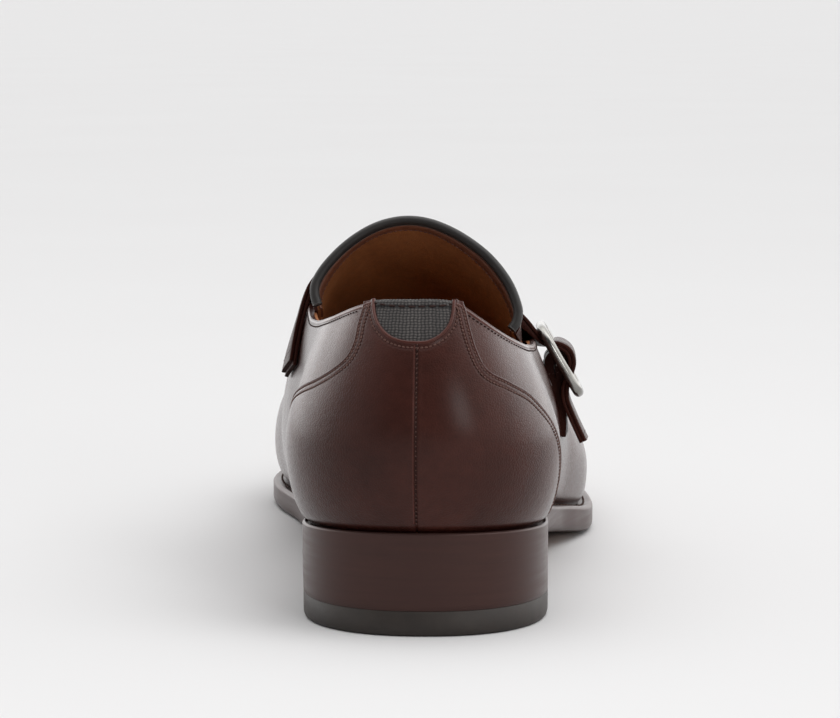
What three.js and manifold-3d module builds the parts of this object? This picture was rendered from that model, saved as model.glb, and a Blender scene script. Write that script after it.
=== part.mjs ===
// Monk strap shoe for the right foot, in millimetres, +Z up.
// The origin is the centre of the heel on the floor, +Y runs to the toe and +X to the outer (lateral) side.
// The last is one function, lastPoint. The upper, tongue, straps and insole are all worked out from it.
import * as THREE from "three";
import { mergeVertices } from "three/addons/utils/BufferGeometryUtils.js";
import Module from "manifold-3d";

const wasm = await Module();
wasm.setup();

// Driving sizes
const heelReach = 36; // from the origin back to the rear edge of the sole
const toeReach = 269; // from the origin to the toe edge of the sole
const toeRounding = 200; // from here the outline closes to the toe as an ellipse
const breastLine = 37; // front face of the heel
const heelSquareness = 2.25;
const meetingGap = 0.3; // space left between pieces that touch

const topPieceThickness = 7;
const heelSeatHeight = 20.2; // top of the heel stack at its rear edge
const heelPitch = 0.067; // fall of the heel seat towards the toe, per mm
const treadEnd = 160; // the toe springs up from here
const toeSpring = 9;
const outsoleThickness = 5;
const weltThickness = 3;
const insoleThickness = 3;
const weltShelf = 5; // how far the welt reaches in under the upper

const upperWall = 2.4;
const throatY = 104; // where the topline meets the ridge of the instep
const throatStart = 94.5; // where it starts to round up to it
const featherAngle = 25 * (Math.PI / 180);

const tongueWall = 2;
const tongueDepth = 4.8; // middle of the tongue below the surface of the last
const tongueFront = 119; // it ends here, under the upper
const rimTop = { y: 70, height: 107 };
const rimSlant = 0.4; // the rim leans forward by this much per mm of height
const pipingRadius = 1.45;

const strapThickness = 2.4;
const strapWidth = 19;
const strapY = 85;

const wireRadius = 1.35; // of the buckle frame
const barRadius = 1.15;
const frameLength = 23; // along the strap, between wire middles
const frameWidth = 24.6; // across it
const frameSquareness = 4.5;
const frameCentre = new THREE.Vector3(38.8, strapY, 61.9);
const frameTilt = 28.8 * (Math.PI / 180); // of the frame from the vertical
const barDrop = 0.95; // the bar lies this far below the plane of the frame
const prongRadius = 0.9;
const tabWidth = 13;
const tabLoop = { inner: 1.6, outer: 2.75 };

// Plan of the sole: distances from the spine to the outer (lateral) and inner (medial) edge
const plan = [
  { y: 0, spine: 0, lateral: 34.8, medial: 34.1 },
  { y: 36, spine: 0, lateral: 34.4, medial: 32.6 },
  { y: 66, spine: -0.5, lateral: 34.6, medial: 31.5 },
  { y: 95, spine: -1.8, lateral: 41.2, medial: 35 },
  { y: 110, spine: -2.6, lateral: 47.2, medial: 37.4 },
  { y: 125, spine: -3.5, lateral: 52.4, medial: 39.8 },
  { y: 142, spine: -4.7, lateral: 54.6, medial: 42.8 },
  { y: 166, spine: -6.4, lateral: 54, medial: 49 },
  { y: 185, spine: -8, lateral: 51.6, medial: 50.2 },
  { y: 203, spine: -9.3, lateral: 48.6, medial: 45.6 },
  { y: 220, spine: -10.5, lateral: 43.6, medial: 37.8 },
  { y: 236, spine: -11, lateral: 41, medial: 34 },
];

// Top line of the last, and how far the feather edge lies in from the edge of the sole
const last = [
  { y: 12, ridgeX: 0, ridgeZ: 120, inset: 1.8 },
  { y: 36, ridgeX: -2, ridgeZ: 119.5, inset: 1.6 },
  { y: 66, ridgeX: -5, ridgeZ: 110.2, inset: 1.6 },
  { y: 95, ridgeX: -6.5, ridgeZ: 93, inset: 2.3 },
  { y: 125, ridgeX: -8, ridgeZ: 77, inset: 3.2 },
  { y: 145, ridgeX: -8.6, ridgeZ: 69, inset: 3.6 },
  { y: 168, ridgeX: -9.3, ridgeZ: 61.5, inset: 4 },
  { y: 190, ridgeX: -10, ridgeZ: 56, inset: 4.2 },
  { y: 236, ridgeX: -11, ridgeZ: 46.8, inset: 4.2 },
  { y: 275, ridgeX: -11, ridgeZ: 38, inset: 4.2 },
];

// Each side of the last. rise: height of the widest point over the feather edge, and swell: how far out from it;
// fullness: power of the curve from there up to the top line, 2 for an ellipse and more for a squarer one.
const sides = {
  lateral: [
    { y: 12, rise: 23, swell: 6.2, fullness: 1.75 },
    { y: 14.5, rise: 23, swell: 6, fullness: 1.32 },
    { y: 22, rise: 23, swell: 5.4, fullness: 1.22 },
    { y: 36, rise: 22, swell: 4.6, fullness: 1.27 },
    { y: 66, rise: 22, swell: 6, fullness: 1.5 },
    { y: 95, rise: 19, swell: 4, fullness: 1.58 },
    { y: 125, rise: 14, swell: 1.9, fullness: 1.52 },
    { y: 145, rise: 13, swell: 1.8, fullness: 1.6 },
    { y: 168, rise: 13, swell: 2.2, fullness: 1.8 },
    { y: 190, rise: 12, swell: 2.2, fullness: 2 },
    { y: 236, rise: 10, swell: 2.2, fullness: 2.3 },
  ],
  medial: [
    { y: 12, rise: 23, swell: 6.2, fullness: 1.75 },
    { y: 14.5, rise: 23, swell: 6.2, fullness: 1.36 },
    { y: 22, rise: 23, swell: 6.3, fullness: 1.5 },
    { y: 36, rise: 22, swell: 6.6, fullness: 1.85 },
    { y: 66, rise: 24, swell: 9.6, fullness: 2.5 },
    { y: 95, rise: 24, swell: 12, fullness: 2.25 },
    { y: 125, rise: 22, swell: 10.5, fullness: 2.4 },
    { y: 145, rise: 16, swell: 6.6, fullness: 2.35 },
    { y: 168, rise: 13, swell: 4.1, fullness: 2.3 },
    { y: 190, rise: 12, swell: 2.4, fullness: 2.3 },
    { y: 236, rise: 10, swell: 2.2, fullness: 2.3 },
  ],
};

// Underside of the outsole over the floor, from the front of the heel to the tread
const waistProfile = [
  { y: 37, height: 15.3 },
  { y: 60, height: 11.6 },
  { y: 80, height: 8.2 },
  { y: 95, height: 5.7 },
  { y: 108, height: 3.5 },
  { y: 119, height: 1.5 },
  { y: 128, height: 0.4 },
  { y: 136, height: 0 },
  { y: 144, height: 0 },
];

// Height of the topline over the floor on each side, as far as the throat opening
const topline = [
  { y: -30, lateral: 91, medial: 91 },
  { y: -26.2, lateral: 90.3, medial: 90.7 },
  { y: -24, lateral: 85.9, medial: 90.2 },
  { y: -20.6, lateral: 82.3, medial: 88.6 },
  { y: -14, lateral: 78.8, medial: 86.3 },
  { y: -6, lateral: 76.4, medial: 83.8 },
  { y: 6, lateral: 74.9, medial: 81.7 },
  { y: 20, lateral: 73.3, medial: 79.9 },
  { y: 34, lateral: 71.6, medial: 78.5 },
  { y: 50, lateral: 69.8, medial: 77.6 },
  { y: 66, lateral: 69.2, medial: 78.4 },
  { y: 84, lateral: 68, medial: 79 },
  { y: 104, lateral: 67, medial: 78 },
];

// Places along the waist where the sections are taken, close together at the throat
const waistStations = [30, 38, 46, 54, 62, 70, 78, 85, 91, 95.5, 99, 101.4, 103, throatY, 108, 113, 118, 123, 128];

// Smooth value of a column between the rows of a table
function along(table, column, y) {
  const end = table.length - 1;
  if (y <= table[0].y) return table[0][column];
  if (y >= table[end].y) return table[end][column];
  let i = 0;
  while (table[i + 1].y < y) i++;
  const slope = (k) => {
    const before = table[Math.max(0, k - 1)];
    const after = table[Math.min(end, k + 1)];
    return (after[column] - before[column]) / (after.y - before.y);
  };
  const [from, to] = [table[i], table[i + 1]];
  const span = to.y - from.y;
  const t = (y - from.y) / span;
  const ease = t * t * (3 - 2 * t);
  const bend = (t * (1 - t) * (1 - t) * slope(i) - t * t * (1 - t) * slope(i + 1)) * span;
  return from[column] * (1 - ease) + to[column] * ease + bend;
}

function soleBottom(y) {
  if (y <= breastLine) return heelSeatHeight - heelPitch * (y + heelReach);
  if (y <= treadEnd) return along(waistProfile, "height", y);
  return toeSpring * ((y - treadEnd) / (toeReach - treadEnd)) ** 2;
}
const outsoleTop = (y) => soleBottom(y) + outsoleThickness;
const weltBottom = (y) => outsoleTop(y) + meetingGap;
const weltTop = (y) => weltBottom(y) + weltThickness;
const featherHeight = (y) => weltTop(y) + meetingGap;

// Half width of the sole from the spine, rounded off at heel and toe
function soleHalfWidth(side, y) {
  if (y < -heelReach || y > toeReach) return -Infinity;
  const width = along(plan, side, Math.max(y, 0));
  if (y < 0) return width * (1 - (-y / heelReach) ** heelSquareness) ** (1 / heelSquareness);
  if (y > toeRounding) return width * Math.sqrt(1 - ((y - toeRounding) / (toeReach - toeRounding)) ** 2);
  return width;
}

// Distance from a station's centre to the edge of the sole, along the station's direction
function soleRadius(side, station) {
  const sign = side === "lateral" ? 1 : -1;
  let [inside, outside] = [0, 140];
  for (let i = 0; i < 40; i++) {
    const r = (inside + outside) / 2;
    const y = station.y + r * Math.sin(station.turn);
    const x = station.x + sign * r * Math.cos(station.turn) - along(plan, "spine", y);
    if (sign * x < soleHalfWidth(side, y)) inside = r;
    else outside = r;
  }
  return inside;
}

function placed(side, station, r, z) {
  const sign = side === "lateral" ? 1 : -1;
  const y = station.y + r * Math.sin(station.turn);
  return new THREE.Vector3(station.x + sign * r * Math.cos(station.turn), y, z(y));
}

function withRadii(y, turn) {
  const station = { y, turn, x: along(last, "ridgeX", y) };
  for (const side of ["lateral", "medial"]) station[side] = soleRadius(side, station);
  return station;
}

// A station across the last at one y, with no turn
const stationAt = (y) => withRadii(y, 0);

// Stations fan round the heel, run straight through the waist and fan round the toe
function makeStations(heelSteps, toeSteps) {
  const fanCentre = 12;
  const toeCentre = 236;
  const fanStart = waistStations[0];
  const toeStart = 134;
  const stations = [];
  for (let i = 0; i < heelSteps; i++) {
    const t = 1 - i / heelSteps;
    const y = fanStart - (fanStart - fanCentre) * (1 - (1 - t) ** 1.7);
    stations.push(withRadii(y, (-Math.PI / 2) * t ** 1.6));
  }
  for (const y of waistStations) stations.push(stationAt(y));
  for (let i = 0; i <= toeSteps; i++) {
    const t = i / toeSteps;
    const y = toeStart + (toeCentre - toeStart) * (1 - (1 - t) ** 1.8);
    stations.push(withRadii(y, (Math.PI / 2) * t ** 2));
  }
  return stations;
}

// Point on the last. part runs from 0 at the feather edge over the widest point to 1 at the ridge.
const lowerPart = 0.28;
function lastPoint(side, station, part) {
  const feather = station[side] - along(last, "inset", station.y);
  const widest = feather + along(sides[side], "swell", station.y);
  const rise = along(sides[side], "rise", station.y);
  if (part < lowerPart) {
    const angle = featherAngle + (Math.PI / 2 - featherAngle) * (part / lowerPart);
    const out = (Math.sin(angle) - Math.sin(featherAngle)) / (1 - Math.sin(featherAngle));
    const up = (Math.cos(featherAngle) - Math.cos(angle)) / Math.cos(featherAngle);
    return placed(side, station, feather + (widest - feather) * out, (y) => featherHeight(y) + rise * up);
  }
  const angle = (Math.PI / 2) * ((part - lowerPart) / (1 - lowerPart));
  const power = 2 / along(sides[side], "fullness", station.y);
  const r = widest * Math.max(0, Math.cos(angle)) ** power;
  return placed(side, station, r, (y) => {
    const widestHeight = featherHeight(y) + rise;
    return widestHeight + (along(last, "ridgeZ", y) - widestHeight) * Math.sin(angle) ** power;
  });
}

// Share of the section at which it reaches a height given as a function of y, or 1 at the ridge
function partAtHeight(side, station, heightAt) {
  let [below, above] = [lowerPart, 1];
  const high = (part) => {
    const point = lastPoint(side, station, part);
    return point.z > heightAt(point.y);
  };
  if (!high(1)) return 1;
  for (let i = 0; i < 30; i++) {
    const middle = (below + above) / 2;
    if (high(middle)) above = middle;
    else below = middle;
  }
  return below;
}

function geometryOf(points, triangles) {
  const geometry = new THREE.BufferGeometry().setFromPoints(points).setIndex(triangles.flat());
  const merged = mergeVertices(geometry, 1e-3);
  const index = merged.index.array;
  const kept = [];
  for (let i = 0; i < index.length; i += 3) {
    const [a, b, c] = [index[i], index[i + 1], index[i + 2]];
    if (a !== b && b !== c && a !== c) kept.push(a, b, c);
  }
  merged.setIndex(kept);
  return merged;
}

// Triangles of a grid of points given as rows, with rows or columns closed into loops on request
function gridTriangles(rows, columns, { closeRows = false, closeColumns = false } = {}) {
  const triangles = [];
  for (let i = 0; i < rows - (closeRows ? 0 : 1); i++) {
    for (let j = 0; j < columns - (closeColumns ? 0 : 1); j++) {
      const a = i * columns + j;
      const b = i * columns + ((j + 1) % columns);
      const c = ((i + 1) % rows) * columns + j;
      const d = ((i + 1) % rows) * columns + ((j + 1) % columns);
      triangles.push([a, b, d], [a, d, c]);
    }
  }
  return triangles;
}

// Closed wall from an open surface, moved out by start, to its offset. A negative distance thickens it inwards.
function thicken(surface, distance, start = 0) {
  surface.computeVertexNormals();
  const { position, normal } = surface.attributes;
  const index = Array.from(surface.index.array);
  const count = position.count;
  const near = [];
  const far = [];
  for (let i = 0; i < count; i++) {
    const point = new THREE.Vector3().fromBufferAttribute(position, i);
    const out = new THREE.Vector3().fromBufferAttribute(normal, i);
    near.push(point.clone().addScaledVector(out, start));
    far.push(point.clone().addScaledVector(out, start + distance));
  }
  const edges = new Set();
  const triangles = [];
  for (let i = 0; i < index.length; i += 3) {
    const [a, b, c] = index.slice(i, i + 3);
    for (const [p, q] of [[a, b], [b, c], [c, a]]) edges.add(`${p} ${q}`);
    triangles.push([a, b, c], [c + count, b + count, a + count]);
  }
  for (const edge of edges) {
    const [p, q] = edge.split(" ").map(Number);
    if (!edges.has(`${q} ${p}`)) triangles.push([q, p, p + count], [q, p + count, q + count]);
  }
  if (distance > 0) triangles.forEach((triangle) => triangle.reverse());
  return geometryOf([...near, ...far], triangles);
}

function solidOf(geometry) {
  const merged = mergeVertices(new THREE.BufferGeometry()
    .setAttribute("position", geometry.getAttribute("position"))
    .setIndex(geometry.index), 1e-3);
  const vertProperties = merged.attributes.position.array;
  const triVerts = new Uint32Array(merged.index.array);
  return new wasm.Manifold(new wasm.Mesh({ numProp: 3, vertProperties, triVerts }));
}

function geometryFrom(solid) {
  const mesh = solid.getMesh();
  return new THREE.BufferGeometry()
    .setAttribute("position", new THREE.BufferAttribute(mesh.vertProperties, 3))
    .setIndex(new THREE.BufferAttribute(mesh.triVerts, 1));
}

// A loop round the sole or heel at a height that is a function of y. Its edge is drawn in by inset(side, station).
function planLoop(stations, inset, height) {
  const half = (side) => stations.map((s) => placed(side, s, s[side] - inset(side, s), height));
  return [...half("lateral"), ...half("medial").reverse()];
}
const drawnIn = (distance) => () => distance;
const fromFeather = (distance) => (side, station) => along(last, "inset", station.y) + distance;

// Solid between loops, from the lowest to the highest, closed across at both ends
function stackLoops(loops) {
  const size = loops[0].length;
  const triangles = gridTriangles(loops.length, size, { closeColumns: true });
  const top = (loops.length - 1) * size;
  for (let i = 0; i < size / 2 - 1; i++) {
    const [a, b, c, d] = [i, i + 1, size - 2 - i, size - 1 - i];
    triangles.push([a, c, b], [a, d, c]);
    triangles.push([top + a, top + b, top + c], [top + a, top + c, top + d]);
  }
  return geometryOf(loops.flat(), triangles);
}

const stations = makeStations(12, 14);

// Heel stations end at the breast line
function heelStations() {
  return [...stations.filter((s) => s.y < breastLine - 1), stationAt(breastLine)];
}

// The medial wall of the heel slopes in a little towards the floor
const heelTaper = (inset) => (side) => (side === "medial" ? inset + 0.7 : inset);

function makeTopPiece() {
  const around = heelStations();
  return stackLoops([
    planLoop(around, drawnIn(1.6), () => 0),
    planLoop(around, heelTaper(0.8), () => 0.8),
    planLoop(around, heelTaper(0), () => topPieceThickness),
  ]);
}

function makeHeelStack() {
  const around = heelStations();
  return stackLoops([
    planLoop(around, heelTaper(0), () => topPieceThickness + meetingGap),
    planLoop(around, drawnIn(0), (y) => soleBottom(y) - meetingGap),
  ]);
}

function makeOutsole() {
  return stackLoops([
    planLoop(stations, drawnIn(2.6), soleBottom),
    planLoop(stations, drawnIn(0.9), (y) => soleBottom(y) + 0.7),
    planLoop(stations, drawnIn(0), (y) => soleBottom(y) + 2.6),
    planLoop(stations, drawnIn(0), outsoleTop),
  ]);
}

function makeWelt() {
  const shelf = fromFeather(weltShelf);
  const loops = [
    planLoop(stations, shelf, weltBottom),
    planLoop(stations, drawnIn(0), weltBottom),
    planLoop(stations, drawnIn(0), (y) => weltTop(y) - 1.1),
    planLoop(stations, drawnIn(0.9), weltTop),
    planLoop(stations, shelf, weltTop),
  ];
  const triangles = gridTriangles(loops.length, loops[0].length, { closeRows: true, closeColumns: true });
  return geometryOf(loops.flat(), triangles);
}

// The insole lies inside the foot of the upper, and its filler fills the hollow inside the welt
function makeInsole() {
  const filler = fromFeather(weltShelf + meetingGap);
  const board = fromFeather(upperWall + 0.5);
  return stackLoops([
    planLoop(stations, filler, weltBottom),
    planLoop(stations, filler, featherHeight),
    planLoop(stations, board, featherHeight),
    planLoop(stations, board, (y) => featherHeight(y) + insoleThickness),
  ]);
}

// Share of the section left below the topline. In front it rounds up to meet the ridge square at the throat.
function toplinePart(side, station) {
  const part = partAtHeight(side, station, (y) => along(topline, side, y));
  if (station.y <= throatStart || station.turn) return part;
  const t = Math.min(1, (station.y - throatStart) / (throatY - throatStart));
  return part + (1 - part) * (1 - Math.sqrt(1 - t * t));
}

function makeUpper() {
  const levels = 10;
  const half = (side) =>
    stations.map((station) => {
      const top = station.y >= throatY ? 1 : toplinePart(side, station);
      return Array.from({ length: levels + 1 }, (_, j) => lastPoint(side, station, (top * j) / levels));
    });
  const rows = [...half("lateral"), ...half("medial").reverse()];
  const triangles = gridTriangles(rows.length, levels + 1, { closeRows: true }).map(([a, b, c]) => [a, c, b]);
  return thicken(geometryOf(rows.flat(), triangles), -upperWall);
}

// Point on the last at a signed share: 0 on the ridge, towards -1 down the lateral side and 1 down the medial.
// out moves it off the surface, inwards if negative.
function shellPoint(y, share, out = 0) {
  const on = (atY, atShare) => {
    const side = atShare < 0 ? "lateral" : "medial";
    return lastPoint(side, stationAt(atY), 1 - Math.abs(atShare));
  };
  const point = on(y, share);
  if (!out) return point;
  const across = on(y, share + 0.02).sub(on(y, share - 0.02));
  const forward = on(y + 0.8, share).sub(on(y - 0.8, share));
  return point.addScaledVector(forward.cross(across).normalize(), out);
}

function shareAtHeight(y, side, height) {
  const share = 1 - partAtHeight(side, stationAt(y), () => height);
  return side === "lateral" ? -share : share;
}

// Middle line of the tongue's rolled rim, from the lateral end to the medial end
const rim = [
  { x: 23, z: 71.8 },
  { x: 25, z: 75.4 },
  { x: 25.9, z: 78.4 },
  { x: 25.3, z: 81.2 },
  { x: 22.7, z: 87 },
  { x: 17.4, z: 93.6 },
  { x: 11.2, z: 98.5 },
  { x: 4.7, z: 102.1 },
  { x: -1.7, z: 104.3 },
  { x: -7.6, z: 104.9 },
  { x: -13.4, z: 104.1 },
  { x: -19, z: 102 },
  { x: -25.2, z: 98 },
  { x: -30.2, z: 93.3 },
  { x: -33.5, z: 89 },
  { x: -34.9, z: 85.8 },
  { x: -33.8, z: 82.4 },
  { x: -31.4, z: 79.2 },
  { x: -28.6, z: 75.8 },
];
const rimCurve = new THREE.CatmullRomCurve3(
  rim.map(({ x, z }) => new THREE.Vector3(x, rimTop.y - rimSlant * (rimTop.height - z), z)),
);

// Middle of the tongue: across runs from 0 at its lateral edge to 1, along from 0 at the rim to 1 at the front
function tonguePoint(across, along) {
  const edge = rimCurve.getPointAt(across);
  const base = (y) => {
    const from = shareAtHeight(y, "lateral", 66);
    const to = shareAtHeight(y, "medial", 69);
    return shellPoint(y, from + (to - from) * across, -tongueDepth);
  };
  const flare = edge.clone().sub(base(edge.y));
  return base(edge.y + (tongueFront - edge.y) * along).addScaledVector(flare, (1 - along) ** 6);
}

function makeTongue() {
  const columns = 28;
  const rows = 9;
  const grid = [];
  for (let j = 0; j <= rows; j++) {
    for (let i = 0; i <= columns; i++) {
      const across = i / columns;
      const start = (pipingRadius + meetingGap + 0.4) / rimCurve.getPointAt(across).distanceTo(
        tonguePoint(across, 1));
      grid.push(tonguePoint(across, start + (1 - start) * (j / rows) ** 1.5));
    }
  }
  return thicken(geometryOf(grid, gridTriangles(rows + 1, columns + 1)), -tongueWall, tongueWall / 2);
}

// Round or flat-sided bar swept along a curve, closed on itself or capped at both ends
function sweep(curve, section, steps, closed = false) {
  const frames = curve.computeFrenetFrames(steps, closed);
  const rows = [];
  for (let i = 0; i < steps + (closed ? 0 : 1); i++) {
    const centre = curve.getPointAt(i / steps);
    rows.push(section(i / steps).map(([u, v]) =>
      centre.clone().addScaledVector(frames.normals[i], u).addScaledVector(frames.binormals[i], v)));
  }
  const sides = rows[0].length;
  const options = { closeRows: closed, closeColumns: true };
  const triangles = gridTriangles(rows.length, sides, options);
  if (!closed) {
    const end = (rows.length - 1) * sides;
    for (let i = 1; i < sides - 1; i++) {
      triangles.push([0, i + 1, i]);
      triangles.push([end, end + i, end + i + 1]);
    }
  }
  return geometryOf(rows.flat(), triangles);
}

function circle(radius, sides) {
  return Array.from({ length: sides }, (_, i) => {
    const angle = (2 * Math.PI * i) / sides;
    return [radius * Math.cos(angle), radius * Math.sin(angle)];
  });
}

function makePiping() {
  return sweep(rimCurve, () => circle(pipingRadius, 8), 44);
}

// Middle of the strap in its own plane across the shoe, from the square medial end over the instep to the tail.
// Down to the lateral quarter it lies on the upper and tongue, at a height and a distance out from the last.
// From there it is placed by x and z. follow: how far it bends with the last across its width.
const strapOverShoe = [
  { side: "medial", height: 58.5, out: 2.4 },
  { side: "medial", height: 64, out: 2.1 },
  { side: "medial", height: 71, out: 1.8 },
  { side: "medial", height: 80, out: 2.15 },
  { side: "medial", height: 86.5, out: 0.5 },
  { side: "medial", height: 92, out: -0.8 },
  { side: "medial", height: 97, out: -1.3 },
  { side: "medial", height: Infinity, out: -1.4 },
  { side: "lateral", height: 97, out: -1.2 },
  { side: "lateral", height: 92, out: -1.1 },
  { side: "lateral", height: 85, out: -1 },
  { side: "lateral", height: 78.5, out: -0.3 },
];
const strapThroughBuckle = [
  { x: 28.6, z: 71.7, follow: 0.9 },
  { x: 31.8, z: 67.5, follow: 0.6 },
  { x: 35.1, z: 66.1, follow: 0.3 },
  { x: 38.3, z: 66.2, follow: 0.1 },
  { x: 41.2, z: 64.4, follow: 0.1 },
  { x: 42.4, z: 61, follow: 0.1 },
  { x: 42, z: 57.5, follow: 0.1 },
  { x: 41.1, z: 54, follow: 0.1 },
  { x: 41.1, z: 50, follow: 0.1 },
  { x: 43.1, z: 43.6, follow: 0.3 },
  { x: 46.1, z: 36.4, follow: 0.4 },
];

function strapCurve(y) {
  const bend = (share, follow) =>
    shellPoint(y, share).sub(shellPoint(strapY, share)).multiply(new THREE.Vector3(follow, 1, follow));
  const over = strapOverShoe.map(({ side, height, out }) => {
    const share = shareAtHeight(strapY, side, height);
    return shellPoint(y, share, out);
  });
  const through = strapThroughBuckle.map(({ x, z, follow }) => {
    const share = shareAtHeight(strapY, "lateral", z);
    return new THREE.Vector3(x, strapY, z).add(bend(share, follow));
  });
  return new THREE.CatmullRomCurve3([...over, ...through], false, "centripetal");
}

function makeStrap() {
  const columns = 4;
  const rows = 60;
  const lineAt = (j) => strapCurve(strapY + strapWidth * (j / columns - 0.5));
  const curves = Array.from({ length: columns + 1 }, (_, j) => lineAt(j));
  const grid = [];
  for (let i = 0; i <= rows; i++) for (const curve of curves) grid.push(curve.getPoint(i / rows));
  const middle = geometryOf(grid, gridTriangles(rows + 1, columns + 1));
  const band = thicken(middle, -strapThickness, strapThickness / 2);
  const slot = solidOf(prongShank(prongRadius + meetingGap));
  return geometryFrom(solidOf(band).subtract(slot));
}

// Place in the buckle: down along the strap, across it, and out from the plane of the frame
function onBuckle(down, across, out) {
  const [sin, cos] = [Math.sin(frameTilt), Math.cos(frameTilt)];
  return new THREE.Vector3(sin * down + cos * out, across, sin * out - cos * down).add(frameCentre);
}

function makeFrame() {
  const points = Array.from({ length: 48 }, (_, i) => {
    const angle = (2 * Math.PI * i) / 48;
    const rounded = (value) => Math.sign(value) * Math.abs(value) ** (2 / frameSquareness);
    const [down, across] = [rounded(Math.cos(angle)), rounded(Math.sin(angle))];
    return onBuckle((frameLength / 2) * down, (frameWidth / 2) * across, 0);
  });
  const ring = sweep(new THREE.CatmullRomCurve3(points, true), () => circle(wireRadius, 8), 48, true);
  return geometryFrom(solidOf(ring).add(barDrum(barRadius, frameWidth)));
}

// Round solid about the middle of the bar
function barDrum(radius, width) {
  const axis = new THREE.LineCurve3(onBuckle(0, -width / 2, -barDrop), onBuckle(0, width / 2, -barDrop));
  return solidOf(sweep(axis, () => circle(radius, 14), 1));
}

function prongShank(radius) {
  const path = new THREE.CatmullRomCurve3([
    onBuckle(-1.6, 0, 0.3),
    onBuckle(-5, 0, 2),
    onBuckle(-9, 0, 2.75),
    onBuckle(-11.5, 0, 2.65),
    onBuckle(-13.4, 0, 2),
  ]);
  return sweep(path, (t) => circle(radius * (1 - 0.25 * t), 8), 12);
}

function makeProng() {
  return geometryFrom(solidOf(prongShank(prongRadius))
    .add(barDrum(barRadius + 1.05, 1.8))
    .subtract(barDrum(barRadius + 0.2, 4)));
}

// The tab folds round the bar and runs down the quarter, its lower end sewn there
function makeTab() {
  const rows = 8;
  const columns = 4;
  const loops = [];
  for (let i = 0; i <= rows; i++) {
    const height = 59.8 - (59.8 - 38) * (i / rows);
    const thick = 1.7 + 2.3 * Math.max(0, 1 - i / 3);
    const line = (out) => Array.from({ length: columns + 1 }, (_, j) => {
      const y = strapY + tabWidth * (j / columns - 0.5);
      return shellPoint(y, shareAtHeight(y, "lateral", height), out);
    });
    loops.push([...line(meetingGap + 0.1), ...line(meetingGap + 0.1 + thick).reverse()]);
  }
  const size = loops[0].length;
  const triangles = gridTriangles(loops.length, size, { closeColumns: true });
  const end = rows * size;
  for (let j = 0; j < columns; j++) {
    const [a, b, c, d] = [j, j + 1, size - 2 - j, size - 1 - j];
    triangles.push([a, c, b], [a, d, c], [end + a, end + b, end + c], [end + a, end + c, end + d]);
  }
  const tail = solidOf(geometryOf(loops.flat(), triangles));
  // The gap in the middle of the fold leaves room for the foot of the prong
  return geometryFrom(barDrum(tabLoop.outer, tabWidth)
    .subtract(barDrum(tabLoop.outer + 1, 2.6))
    .add(tail)
    .subtract(barDrum(tabLoop.inner, 40))
    .subtract(barDrum(tabLoop.inner + 0.9, 2.6)));
}

const pieces = [
  ["top_piece", makeTopPiece, 0x3a3633, 0.5],
  ["heel_stack", makeHeelStack, 0x3d2b29, 0.35],
  ["outsole", makeOutsole, 0x4b3632, 0.45],
  ["welt", makeWelt, 0x4b3632, 0.45],
  ["insole", makeInsole, 0x9a6a3c, 0.7],
  ["upper", makeUpper, 0x4a2a24, 0.4],
  ["tongue", makeTongue, 0x8a5a34, 0.6],
  ["tongue_piping", makePiping, 0x34363a, 0.5],
  ["strap", makeStrap, 0x45302c, 0.4],
  ["buckle_frame", makeFrame, 0xb8b6b0, 0.3, 1],
  ["buckle_prong", makeProng, 0xb8b6b0, 0.3, 1],
  ["buckle_tab", makeTab, 0x3a2826, 0.5],
];

const shoe = new THREE.Group();
for (const [name, make, color, roughness, metalness = 0] of pieces) {
  const mesh = new THREE.Mesh(make(), new THREE.MeshStandardMaterial({ color, roughness, metalness }));
  mesh.name = name;
  shoe.add(mesh);
}

export default shoe;
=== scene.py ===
import math

import bmesh
import bpy
import numpy as np
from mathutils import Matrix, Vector


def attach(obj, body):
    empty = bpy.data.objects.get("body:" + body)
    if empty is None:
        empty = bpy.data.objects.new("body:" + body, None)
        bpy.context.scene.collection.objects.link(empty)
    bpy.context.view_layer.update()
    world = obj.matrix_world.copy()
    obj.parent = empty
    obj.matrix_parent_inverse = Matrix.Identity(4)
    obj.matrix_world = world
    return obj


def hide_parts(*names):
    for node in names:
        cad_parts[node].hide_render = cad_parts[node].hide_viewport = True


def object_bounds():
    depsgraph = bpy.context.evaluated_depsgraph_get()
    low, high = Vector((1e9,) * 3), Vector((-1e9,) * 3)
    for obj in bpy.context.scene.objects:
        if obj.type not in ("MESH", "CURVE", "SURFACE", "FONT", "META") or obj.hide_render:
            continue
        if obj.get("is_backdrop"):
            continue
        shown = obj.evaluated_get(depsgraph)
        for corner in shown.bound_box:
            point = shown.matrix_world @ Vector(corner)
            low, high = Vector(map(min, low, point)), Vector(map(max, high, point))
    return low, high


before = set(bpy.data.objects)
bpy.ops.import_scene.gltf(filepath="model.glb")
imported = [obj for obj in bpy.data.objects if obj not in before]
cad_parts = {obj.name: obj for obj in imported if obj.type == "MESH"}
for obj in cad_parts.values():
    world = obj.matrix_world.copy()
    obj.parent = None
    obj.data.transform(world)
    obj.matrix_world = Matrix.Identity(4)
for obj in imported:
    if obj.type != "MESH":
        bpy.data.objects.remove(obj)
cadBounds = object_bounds()
print("frame loaded:", len(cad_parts), "parts")

# All shape work below is in millimetres in the shoe's own frame and goes to metres in makePiece.

# The last: plan of the sole, top line and sections

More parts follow.
